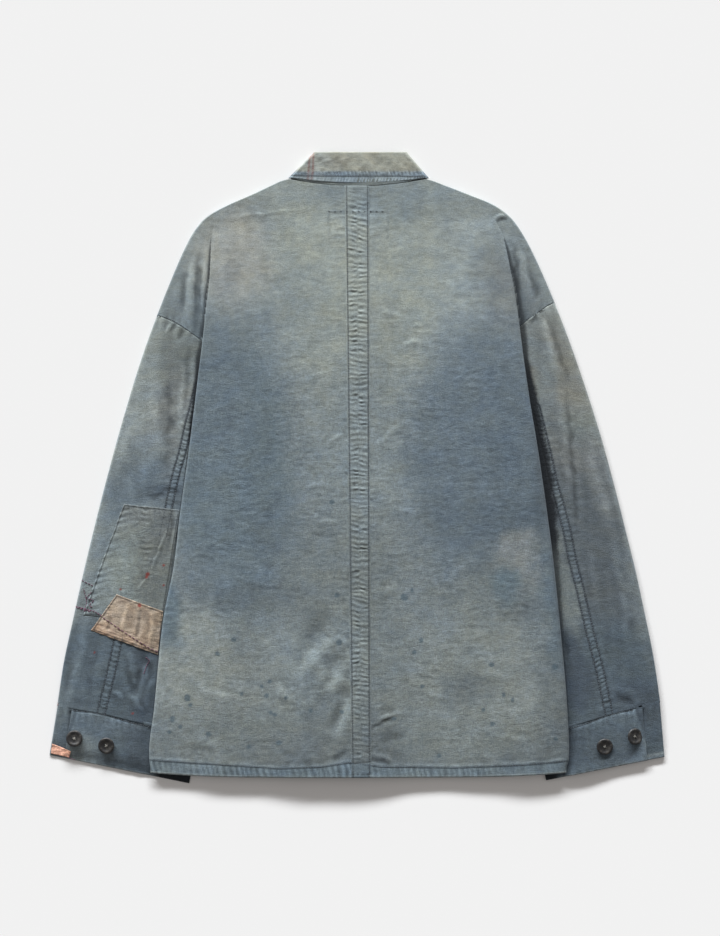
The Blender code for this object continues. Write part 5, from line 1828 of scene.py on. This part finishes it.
def build_fall(backs, material):
    cage = np.array(fall_cage(), float)
    spans = cage.shape[1] - 1
    front = FRONT_STEPS
    steps = [HIDDEN] * front + [2.0] * 3 + [1.1] * 3 + [1.3] * (spans - 2 * front - 12)
    steps += [1.1] * 3 + [2.0] * 3 + [HIDDEN] * front
    grid = refine(cage, 1.2, steps)
    grid = with_lengths(grid)
    sign = top_side(grid)
    x, y = grid[..., 0], grid[..., 1]
    d, s = beside(FALL_STITCH, x, y)
    relief = 0.8 * washed(x, y, 120)
    relief += 0.5 * noise((x + y) / 16, (x - y) / 60, 123) * (1 - ease((y - 738) / 6))
    band = bell((y - 717.5) / 3.0)
    relief += band * (0.1 + 0.28 * rungs(s + 0.4 * y, 4.2, 124) + 0.4 * noise(s / 3.0, y / 4, 127))
    relief += 0.4 * bell((y - 727) / 9.0) * noise((s - 0.9 * y) / 9, (s + y) / 40, 122)
    relief -= 0.15 * bell(d / 0.8)
    relief += 0.3 * bell((y - 710) / 2.2) * rungs(s - 0.3 * y, 3.9, 125)
    grid = displaced(grid, relief, sign)
    top = grid[..., 2] > 5.5
    grid[..., 2] -= 1.5 * ease((741 - y) / 34) * top
    under = level_on(backs, grid[..., 0], grid[..., 1])
    near = top & (grid[..., 1] < 722)
    grid[..., 2] = np.where(near, np.maximum(grid[..., 2], under + 0.4), grid[..., 2])
    grid = hemmed(grid, ("low",), 0.8)
    points, faces = joined_grids((grid,), (sign,))
    x, y, z, relief, across = points.T
    colour = painted("collar", COLLAR_STAINS, x, y, 126)
    d, s = beside(FALL_STITCH, x, y)
    band = (1 - ease((y - 717.5) / 4.5)) * (0.9 + 0.4 * noise(s / 9, 0.5, 127))
    colour = blend_in(colour, "denim", np.clip(band, 0, 0.9))
    low = (1 - ease((y - 713.0) / 2.0)) * (0.6 + 0.5 * noise(s / 7, 0.5, 121))
    colour = blend_in(colour, "bleached", np.clip(low, 0, 0.9))
    colour = relief_shade_and_wear(mottled(colour, across, y, 128), relief, 0.35)
    for line in RED_LINES:
        away, run = beside(line, x, y)
        broken = 0.75 + 0.5 * noise(run / 2.4, 0.5, 129)
        mask = (1 - ease(np.abs(away) / 1.5 - 0.2)) * broken * (z > 4)
        colour = blend_in(colour, "rust", np.clip(0.75 * mask, 0, 0.85))
    seams = np.where(z > 3, np.abs(d) + 0.5, NO_SEAM)
    return cloth_piece("collar_fall", points, faces, colour, seams, material)


def build_stand(material):
    grid = with_lengths(refine(np.array(stand_cage(), float), 2.0, 2.5))
    sign = top_side(grid)
    grid = displaced(grid, 0.3 * washed(grid[..., 0], grid[..., 1], 131), sign)
    points, faces = joined_grids((grid,), (sign,))
    x, y = points[:, 0], points[:, 1]
    colour = mottled(painted("drab", (), x, y, 132), x, y, 133)
    return cloth_piece("collar_stand", points, faces, relief_shade_and_wear(colour, points[:, 3]),
                       np.full(len(x), NO_SEAM), material)


def build_patch(name, corners, trees, lift, relief_of, colour_of, material, bow=0.0, inset=1.6):
    grid = patch_grid(corners, 1.1)
    rows = np.linspace(0, 1, len(grid))
    grid[:, :, 0] -= (bow * np.sin(math.pi * rows))[:, None] * np.linspace(1, 0, grid.shape[1])
    grid[..., 0] += 0.6 * noise(grid[..., 0] / 19, grid[..., 1] / 19, 140)
    grid[..., 1] += 0.6 * noise(grid[..., 0] / 19, grid[..., 1] / 19, 141)
    limit = [-fold(LEFT, height) - 1.0 for height in grid[..., 1].ravel()]
    grid[..., 0] = np.minimum(grid[..., 0], np.array(limit).reshape(grid.shape[:2]))
    under = level_on(trees, grid[..., 0], grid[..., 1])
    grid = with_lengths(laid(grid, under, lift, 3))
    down = np.linalg.norm(np.diff(grid[..., :2], axis=0), axis=2).mean() * np.arange(len(grid))
    over = np.linalg.norm(np.diff(grid[..., :2], axis=1), axis=2).mean()
    over = over * np.arange(grid.shape[1])
    border = np.minimum(np.minimum(down, down[-1] - down)[:, None],
                        np.minimum(over, over[-1] - over)[None, :])
    sign = top_side(grid)
    relief = relief_of(grid[..., 0], grid[..., 1], border)
    relief -= 0.2 * bell((border - inset) / 0.8)
    grid = displaced(grid, relief, sign)
    grid[..., 2] = np.maximum(grid[..., 2], under + 0.25)
    grid[..., 4] = border
    grid = hemmed(grid, ("low", "high", "first", "last"), 0.6)
    points, faces = joined_grids((grid,), (sign,))
    x, y, _, relief, border = points.T
    colour = relief_shade_and_wear(mottled(colour_of(x, y, border), x, y, 143), relief, 0.35)
    return cloth_piece(name, points, faces, colour, np.abs(border - inset), material)


ELBOW_FOLDS = (
    Crease(-222, 302, -246, 241, 0, 1.0, 1.5),
    Crease(-246, 244, -260, 225, 0, 0.8, 1.5),
    Crease(-218, 326, -224, 268, 1, -1.0, 3.5),
    Crease(-211, 322, -220, 250, 1, 1.2, 4.5),
    Crease(-270, 300, -252, 262, 1, 0.5, 4.0),
    Crease(-262, 262, -244, 232, 1, -0.5, 4.0),
    Crease(-326, 198, -305, 189, 0, -0.9, 1.4),
)
BEIGE_FOLDS = (
    Crease(-270, 214, -278, 178, 1, 0.6, 3.0),
    Crease(-255, 208, -262, 165, 1, -0.7, 2.6),
    Crease(-242, 204, -246, 158, 1, 0.7, 3.2),
    Crease(-290, 196, -297, 176, 1, -0.5, 2.4),
)


def elbow_relief(x, y, border):
    left = np.interp(y, (193, 328), (-322, -274))
    pucker = np.exp(-(x - left) / 7.0) * rungs(y - 0.25 * x, 9.0, 151)
    above = np.exp(-(326 - y) / 8.0) * rungs(x + 0.2 * y, 7.5, 154)
    column = ease((y - 232) / 20) * bell((x + 246 + 0.1 * (y - 260)) / 5.5)
    total = 0.9 * washed(x, y, 152) + creases(ELBOW_FOLDS, x, y)
    wavy = y + 0.15 * x + 3 * noise(x / 6, y / 14, 165)
    strong = 0.2 + 0.35 * noise(x / 9, y / 22, 166)
    return total + 0.35 * pucker + 0.25 * above + strong * column * rungs(wavy, 6.0, 158)


def elbow_colour(x, y, border):
    zones = (Zone(-262, 258, 34, 60, "lichen", 0.8, -14),
             Zone(-234, 258, 24, 66, "moss", 0.9, -9, 0.5),
             Zone(-244, 320, 40, 12, "flint", 0.6),
             Zone(-306, 206, 22, 20, "washed", 0.6),
             Zone(-222, 306, 16, 10, "smoke", 0.6, -8),
             Zone(-244, 298, 44, 28, "flint", 0.3, -14))
    colour = dropped(painted("pale", zones, x, y, 153), RED_DROPS, "rust", x, y, 0.9)
    return blend_in(colour, "black", gap_shade(LEFT, x, y))


# Rows of mending on the beige patch: height over its lower edge, and slope
BEIGE_ROWS = ((2.0, 0.0), (5.0, 0.03), (8.4, -0.02), (12.0, 0.05))


def above_lower_edge(x, y):
    """Distance from the beige patch's lower edge."""
    ax, ay = BEIGE_PATCH[3]
    bx, by = BEIGE_PATCH[2]
    long = math.hypot(bx - ax, by - ay)
    return ((y - ay) * (bx - ax) - (x - ax) * (by - ay)) / long


def beige_lines(x, y):
    """Rows of old brown mending stitches, 1 on each row."""
    total = np.zeros(x.shape)
    up = above_lower_edge(x, y)
    for number, (height, slope) in enumerate(BEIGE_ROWS):
        wave = 1.6 * noise(x / 19, number + 0.5, 163)
        broken = np.clip(0.7 + 1.2 * noise(x / 7, number + 0.5, 164), 0, 1)
        away = up - height - slope * (x + 272) - wave
        total = np.maximum(total, broken * bell(away / 0.65))
    return total


def beige_relief(x, y, border):
    rows = bell(border / 7.0) * noise(x / 7, y / 2.6, 155)
    total = 1.2 * washed(x, y, 156) + 1.7 * creases(BEIGE_FOLDS, x, y) + 0.7 * rows
    return total - 0.3 * beige_lines(x, y)


def beige_colour(x, y, border):
    zones = (Zone(-292, 204, 26, 16, "sand", 0.8),
             Zone(-300, 178, 20, 10, "peach", 0.7),
             Zone(-262, 162, 34, 8, "peach", 0.5, -20),
             Zone(-262, 190, 6, 20, "umber", 0.22, 10),
             Zone(-245, 184, 5, 20, "umber", 0.22, 8),
             Zone(-272, 186, 20, 22, "sand", 0.4))
    colour = painted("beige", zones, x, y, 157)
    # Lighter and darker blotches at random places: a painted stand-in for the highlights and shade
    # of the patch's crumples.
    cloud = noise(x / 8, y / 11, 158)
    colour = blend_in(colour, "sand", 0.7 * np.clip(1.6 * cloud, 0, 1))
    colour = blend_in(colour, "umber", 0.35 * np.clip(-1.6 * cloud, 0, 1))
    colour = blend_in(colour, "umber", 0.15 * bell(border / 2.0))
    colour = dropped(colour, RED_DROPS, "rust", x, y, 0.9)
    return blend_in(colour, "bark", 0.5 * beige_lines(x, y))


def salmon_relief(x, y, border):
    return 0.5 * washed(x, y, 159) + 0.5 * noise(x / 5, y / 4, 160)


def salmon_colour(x, y, border):
    colour = painted("salmon", (), x, y, 161)
    return blend_in(colour, "umber", 0.15 * bell(border / 1.0))


# Sewing threads ------------------------------------------------------------

def stitch_row(points, pitch, share):
    """Start and end of each stitch along a line of points."""
    line = np.array(points, float)
    spans = np.linalg.norm(np.diff(line, axis=0), axis=1)
    knots = np.concatenate([[0.0], np.cumsum(spans)])
    starts = np.arange(0.0, knots[-1] - share * pitch, pitch)
    places = np.stack([starts, starts + share * pitch], axis=1)
    x = np.interp(places, knots, line[:, 0])
    y = np.interp(places, knots, line[:, 1])
    return np.stack([x, y], axis=2)


def thread_rows(rows, trees, radius, name, material):
    """Many short stitches as one mesh: each a bent bar, low at both of its ends."""
    ends = np.concatenate(rows)
    shares = np.array([0.0, 0.2, 0.5, 0.8, 1.0])
    rise = np.array([-0.6, 0.75, 1.0, 0.75, -0.6]) * radius
    width = np.array([0.4, 0.9, 1.0, 0.9, 0.4]) * radius
    middle = ends.mean(axis=1)
    spine = lerp(ends[:, None, 0], ends[:, None, 1], shares[None, :, None])
    low = level_on(trees, ends[..., 0], ends[..., 1])
    centre = level_on(trees, middle[:, 0], middle[:, 1])
    base = lerp(low[:, :1], low[:, 1:], shares[None, :])
    base = np.maximum(base, centre[:, None] - 0.3)
    along = ends[:, 1] - ends[:, 0]
    along = along / np.maximum(np.linalg.norm(along, axis=1, keepdims=True), 1e-6)
    side = np.stack([-along[:, 1], along[:, 0]], axis=1)
    corners = ((1, 0), (0.5, 0.8), (-0.5, 0.8), (-1, 0), (0, -0.7))
    rings = []
    for u, v in corners:
        xy = spine + side[:, None, :] * (u * width)[None, :, None]
        z = base + rise[None, :] + v * width[None, :]
        rings.append(np.concatenate([xy, z[..., None]], axis=2))
    points = np.stack(rings, axis=2)
    count, steps, around = points.shape[:3]
    index = np.arange(count * steps * around).reshape(count, steps, around)
    nxt = np.roll(index, -1, axis=2)
    faces = np.stack([index[:, :-1], index[:, 1:], nxt[:, 1:], nxt[:, :-1]], axis=-1)
    full = np.zeros((count * steps * around, 5))
    full[:, :3] = points.reshape(-1, 3)
    dye = np.tile(PAINT_COLOURS["thread"], (len(full), 1))
    return make_piece(name, full, faces.reshape(-1, 4), dye, np.full(len(full), NO_SEAM), material,
                      ())


def thread_material(name, dark=(0.035, 0.045, 0.06, 1.0), light=(0.09, 0.11, 0.13, 1.0)):
    """Twisted sewing thread, a little fuzzy and unevenly dyed."""
    n = Nodes(name)
    place = n.add("ShaderNodeTexCoord").outputs["Object"]
    twist = n.stretched_noise(place, (2500.0, 2500.0, 900.0), 2.0)
    tone = n.stretched_noise(place, (40.0, 40.0, 40.0), 2.0)
    share = n.remap(n.math("ADD", twist, tone), 0.7, 1.3, 0.0, 1.0)
    colour = n.add("ShaderNodeMix", {0: share, 6: dark, 7: light}, data_type="RGBA").outputs[2]
    bump = n.add("ShaderNodeBump", {"Height": twist, "Strength": 0.5, "Distance": 0.0002})
    return n.surfaced({"Base Color": colour, "Roughness": 0.75, "Normal": bump.outputs[0],
                       "Sheen Weight": 0.15})


def shifted(points, out):
    """A line of points moved sideways by a distance."""
    line = np.array(points, float)
    along = np.gradient(line, axis=0)
    along = along / np.linalg.norm(along, axis=1, keepdims=True)
    return line + np.stack([-along[:, 1], along[:, 0]], axis=1) * out


def strap_line(side):
    heights = np.arange(HEM_ROW + 1, BACK_NECK - 1, 20.0)
    x = centre_x(heights) + side * (strap_half(heights) + STRAP_OVER - STRAP_STITCH)
    return np.stack([x, heights], axis=1)


def cuff_line(side, below):
    """The row of stitches along a cuff's upper edge."""
    out = np.linspace(fold(side, 62.0) + 1.5, CUFF_SEAM_END[side], 12)
    return list(zip(side * out, cuff_joint(side, out) - below))


# Lines of purple mending thread, with the length of their stitches
MENDING = (
    (((-324.5, 238.4), (-310.3, 231.3)), 4.0),
    (((-312.7, 224.2), (-319.8, 217.1), (-309.2, 214.8), (-316, 209), (-311, 206)), 3.2),
    (((-331.6, 207.7), (-309.2, 201.8), (-298.5, 194.7)), 3.4),
    (((-331, 206.4), (-310, 200.4)), 4.6),
    (((-299.7, 194.7), (-273.8, 177), (-244.3, 158.1), (-233.6, 153.4)), 5.2),
    (((-249, 147.5), (-244.3, 144), (-247.8, 138.1), (-251.3, 127.4)), 3.0),
    (((-339.8, 29.5), (-332.8, 26), (-331, 28)), 3.0),
    (((-322, 228), (-318, 212), (-322, 200)), 3.2),
)


def build_threads(pieces):
    navy = thread_material("sewing_thread")
    cloth = [tree_of(piece) for piece in pieces]
    rows = [stitch_row(HEM_STITCH, 3.1, 0.75), stitch_row(LABEL_STITCHES[:2], 7.0, 0.3),
            stitch_row(FALL_STITCH, 2.9, 0.75)]
    for side in SIDES:
        rows.append(stitch_row(strap_line(side), 3.0, 0.75))
        rows.append(stitch_row(ARMHOLE_LINES[side], 3.0, 0.7))
        for seam in SLEEVE_SEAMS[side]:
            for out in (-seam.half, seam.half):
                row = stitch_row(shifted(seam.points, out), 3.0, 0.75)
                middle = row.mean(axis=1)
                rows.append(row[gap_shade(side, middle[:, 0], middle[:, 1]) < 0.3])
        rows.append(stitch_row(cuff_line(side, CUFF_STITCH), 3.0, 0.75))
    thread_rows(rows, cloth, 0.3, "threads_navy", navy)
    plum = thread_material("mending_thread", (0.07, 0.022, 0.05, 1.0), (0.16, 0.05, 0.10, 1.0))
    rows = [stitch_row(points, pitch, 0.85) for points, pitch in MENDING]
    thread_rows(rows, cloth, 0.45, "threads_plum", plum)


# Buttons -------------------------------------------------------------------

# Section of a button from the middle of its top to that of its back: radius and height
BUTTON_SECTION = ((0.0, 1.75), (2.8, 1.72), (4.6, 1.8), (5.7, 2.1), (6.6, 2.55), (7.3, 2.76),
                  (8.1, 2.8), (8.8, 2.62), (9.35, 2.2), (9.65, 1.7), (BUTTON_RADIUS, 1.25),
                  (9.5, 0.75), (9.0, 0.35), (8.0, 0.08), (7.0, 0.0), (0.0, 0.0))
HOLES = 4
HOLE_OUT = 2.0            # from the button's middle to a hole's
HOLE_RADIUS = 0.95
THREAD_OUT = 2.3          # half the length of a strand of thread over the holes
STRAND = 0.28             # half the distance between the two strands


def button_mesh():
    """Four-hole button with a raised rim, its back at 0."""
    outline = bpy.data.meshes.new("button_profile")
    outline.from_pydata([(r * MM, 0.0, z * MM) for r, z in BUTTON_SECTION],
                        [(k, k + 1) for k in range(len(BUTTON_SECTION) - 1)], [])
    blank = linked("button_blank", outline)
    screw = blank.modifiers.new("Turn", "SCREW")
    screw.steps = 48
    screw.render_steps = 48
    screw.use_merge_vertices = True
    screw.merge_threshold = 0.00005
    holes = bmesh.new()
    for k in range(HOLES):
        angle = math.radians(45 + 90 * k)
        centre = Vector((math.cos(angle), math.sin(angle), 0.0)) * HOLE_OUT * MM
        made = bmesh.ops.create_cone(holes, cap_ends=True, segments=14, depth=10 * MM,
                                     radius1=HOLE_RADIUS * MM, radius2=HOLE_RADIUS * MM)
        bmesh.ops.translate(holes, verts=made["verts"], vec=centre)
    hole_mesh = bpy.data.meshes.new("button_holes")
    holes.to_mesh(hole_mesh)
    holes.free()
    cutter = linked("button_holes", hole_mesh)
    drill = blank.modifiers.new("Holes", "BOOLEAN")
    drill.operation = "DIFFERENCE"
    drill.object = cutter
    bpy.context.view_layer.update()
    shape = blank.evaluated_get(bpy.context.evaluated_depsgraph_get())
    mesh = bpy.data.meshes.new_from_object(shape)
    bpy.data.objects.remove(blank, do_unlink=True)
    bpy.data.objects.remove(cutter, do_unlink=True)
    mesh.shade_smooth()
    mesh.set_sharp_from_angle(angle=math.radians(35))
    return mesh


def resin_material():
    """Dark brown-grey resin with cloudy veins and scratches."""
    n = Nodes("button_resin")
    place = n.add("ShaderNodeTexCoord").outputs["Object"]
    clouds = n.stretched_noise(place, (260.0, 420.0, 260.0), 4.0)
    scratches = n.stretched_noise(place, (300.0, 3200.0, 300.0), 3.0)
    share = n.remap(clouds, 0.45, 0.75, 0.0, 1.0)
    colour = n.add("ShaderNodeMix", {0: share, 6: (0.010, 0.010, 0.011, 1.0),
                                     7: (0.048, 0.044, 0.039, 1.0)}, data_type="RGBA").outputs[2]
    height = n.math("ADD", n.math("MULTIPLY", clouds, 0.5), scratches)
    bump = n.add("ShaderNodeBump", {"Height": height, "Strength": 0.35, "Distance": 0.0003})
    rough = n.remap(scratches, 0.3, 0.7, 0.36, 0.6)
    return n.surfaced({"Base Color": colour, "Roughness": rough, "Normal": bump.outputs[0],
                       "IOR": 1.5})


# Lean of each cuff button, in degrees about X and Y, and the turn of its holes
Lean = namedtuple("Lean", "about_x about_y turn")
LEANS = {
    "cuff_button_left_outer": Lean(-6, 3, 20),
    "cuff_button_left_inner": Lean(4, -5, -8),
    "cuff_button_right_inner": Lean(5, 4, 12),
    "cuff_button_right_outer": Lean(8, 20, 35),
}


def button_thread(place, turn):
    """Worn threads through the four holes: two crossing pairs of strands."""
    rows = []
    middle = np.array(place)
    for angle in (45 + turn, 135 + turn):
        a = math.radians(angle)
        for shift in (-STRAND, STRAND):
            across = np.array([-math.sin(a), math.cos(a)]) * shift
            reach_out = np.array([math.cos(a), math.sin(a)]) * THREAD_OUT
            rows.append(np.array([[middle + across - reach_out, middle + across + reach_out]]))
    return rows


def place_button(name, mesh, location, turns):
    item = linked("resin_" + name, mesh)
    item.location = location
    item.rotation_euler = turns
    bpy.context.view_layer.update()
    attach(item, "root")
    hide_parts(name)
    return item


def build_buttons(cuff_trees):
    mesh = button_mesh()
    mesh.materials.append(resin_material())
    thread = thread_material("button_thread", (0.10, 0.10, 0.09, 1.0), (0.32, 0.31, 0.28, 1.0))
    for name, (x, y) in CUFF_BUTTONS.items():
        lean = LEANS[name]
        places = np.array([[x - 5, x + 5, x, x]]), np.array([[y, y, y - 5, y + 5]])
        level = level_on(cuff_trees, *places).mean() + 0.35
        item = place_button(name, mesh, (x * MM, (y - MIDDLE_Y) * MM, level * MM),
                            [math.radians(angle) for angle in lean])
        rows = button_thread((x, y), lean.turn)
        thread_rows(rows, [tree_of_turned(item)], 0.27, "thread_" + name, thread)
    for number, height in enumerate(BUTTON_HEIGHTS, start=1):
        place_button(f"front_button_{number}", mesh,
                     (0.0, (height - MIDDLE_Y) * MM, BUTTON_THICK * MM),
                     (math.pi, 0.0, math.radians(17 * number)))


def tree_of_turned(item):
    """Tree of an object's faces in the shared frame."""
    points = [item.matrix_world @ vertex.co for vertex in item.data.vertices]
    return BVHTree.FromPolygons(points, [tuple(face.vertices) for face in item.data.polygons])


def build_jacket():
    made = {}
    pairs = {"back": build_back, "front": build_front, "sleeve": build_sleeve, "cuff": build_cuff}
    cloths = {key: cloth_material(key + "_cloth") for key in pairs}
    for side in SIDES:
        for key, build in pairs.items():
            made[key, side] = build(side, cloths[key])
    back_trees = [tree_of(made["back", side]) for side in SIDES]
    made["strap"] = build_strap(back_trees, cloth_material("strap_cloth"))
    collar = cloth_material("collar_cloth", slub=0.06, tint=(0.9, 0.9, 0.85))
    made["fall"] = build_fall(back_trees, collar)
    made["stand"] = build_stand(cloth_material("stand_cloth"))
    on_sleeve = [tree_of(made["sleeve", LEFT])]
    made["elbow"] = build_patch("elbow_patch", ELBOW_PATCH, on_sleeve, 0.45, elbow_relief,
                                elbow_colour, cloth_material("elbow_patch_cloth"), bow=1.4)
    on_both = on_sleeve + [tree_of(made["elbow"])]
    made["beige"] = build_patch("beige_patch", BEIGE_PATCH, on_both, 0.6, beige_relief,
                                beige_colour, cloth_material("beige_patch_cloth"))
    on_cuff = [tree_of(made["cuff", LEFT])]
    made["salmon"] = build_patch("salmon_patch", SALMON_PATCH, on_cuff, 0.7, salmon_relief,
                                 salmon_colour, cloth_material("salmon_patch_cloth"), inset=-9.0)
    build_threads(list(made.values()))
    build_buttons([tree_of(made["cuff", side]) for side in SIDES])


# Flat cut of each cloth piece in metres, its area as a share of the rectangle around it,
# and what it lies on
Cut = namedtuple("Cut", "key wide long share on")


# Studio --------------------------------------------------------------------

FLOOR_HALF = 6            # metres each way
WORLD_COLOUR = (1.045, 0.995, 0.96, 1.0)
WORLD_LIGHT = 0.32
SUN_COLOUR = (0.981, 1.002, 1.017)
SUN_LIGHT = 7.98          # of all the suns together
SUN_WIDTH = 7.5           # degrees across, for soft shadows
SUN_FROM = (-0.16, 0.95, 0.30)
SUN_TURNS = (-24, -16, -8, 0, 8, 16, 24)   # a fan of low suns, in degrees
CAMERA_AT = (0.0035, -0.0005, 3.0)         # metres, looking straight down
CAMERA_LENS = 97.8
CAMERA_SENSOR = 36.0


def build_floor():
    n = Nodes("studio_floor")
    shader = n.add("ShaderNodeBsdfPrincipled", {"Base Color": (FLOOR_ALBEDO,) * 3 + (1.0,),
                                                "Roughness": 1.0})
    shader.inputs["Specular IOR Level"].default_value = 0.0
    n.add("ShaderNodeOutputMaterial", {"Surface": shader.outputs[0]})
    mesh = bpy.data.meshes.new("studio_floor")
    corners = [(x * FLOOR_HALF, y * FLOOR_HALF, 0) for x, y in ((-1, -1), (1, -1), (1, 1), (-1, 1))]
    mesh.from_pydata(corners, [], [(0, 1, 2, 3)])
    mesh.materials.append(n.material)
    floor = linked("studio_floor", mesh)


def build_studio():
    scene = bpy.context.scene
    scene.view_settings.view_transform = "Standard"
    world = bpy.data.worlds.new("studio")
    world.use_nodes = True
    background = world.node_tree.nodes["Background"]
    background.inputs["Color"].default_value = WORLD_COLOUR
    background.inputs["Strength"].default_value = WORLD_LIGHT
    scene.world = world
    for number, turned in enumerate(SUN_TURNS, start=1):
        light = bpy.data.lights.new(f"key_{number}", "SUN")
        light.energy = SUN_LIGHT / len(SUN_TURNS)
        light.angle = math.radians(SUN_WIDTH)
        light.color = SUN_COLOUR
        sun = linked(f"key_{number}", light)
        toward = Matrix.Rotation(math.radians(turned), 3, "Z") @ Vector(SUN_FROM)
        sun.rotation_euler = toward.to_track_quat("Z", "Y").to_euler()
    camera_data = bpy.data.cameras.new("camera")
    camera_data.sensor_width = CAMERA_SENSOR
    camera_data.lens = CAMERA_LENS
    camera = linked("camera", camera_data)
    camera.location = CAMERA_AT
    scene.camera = camera


build_jacket()
build_floor()
build_studio()
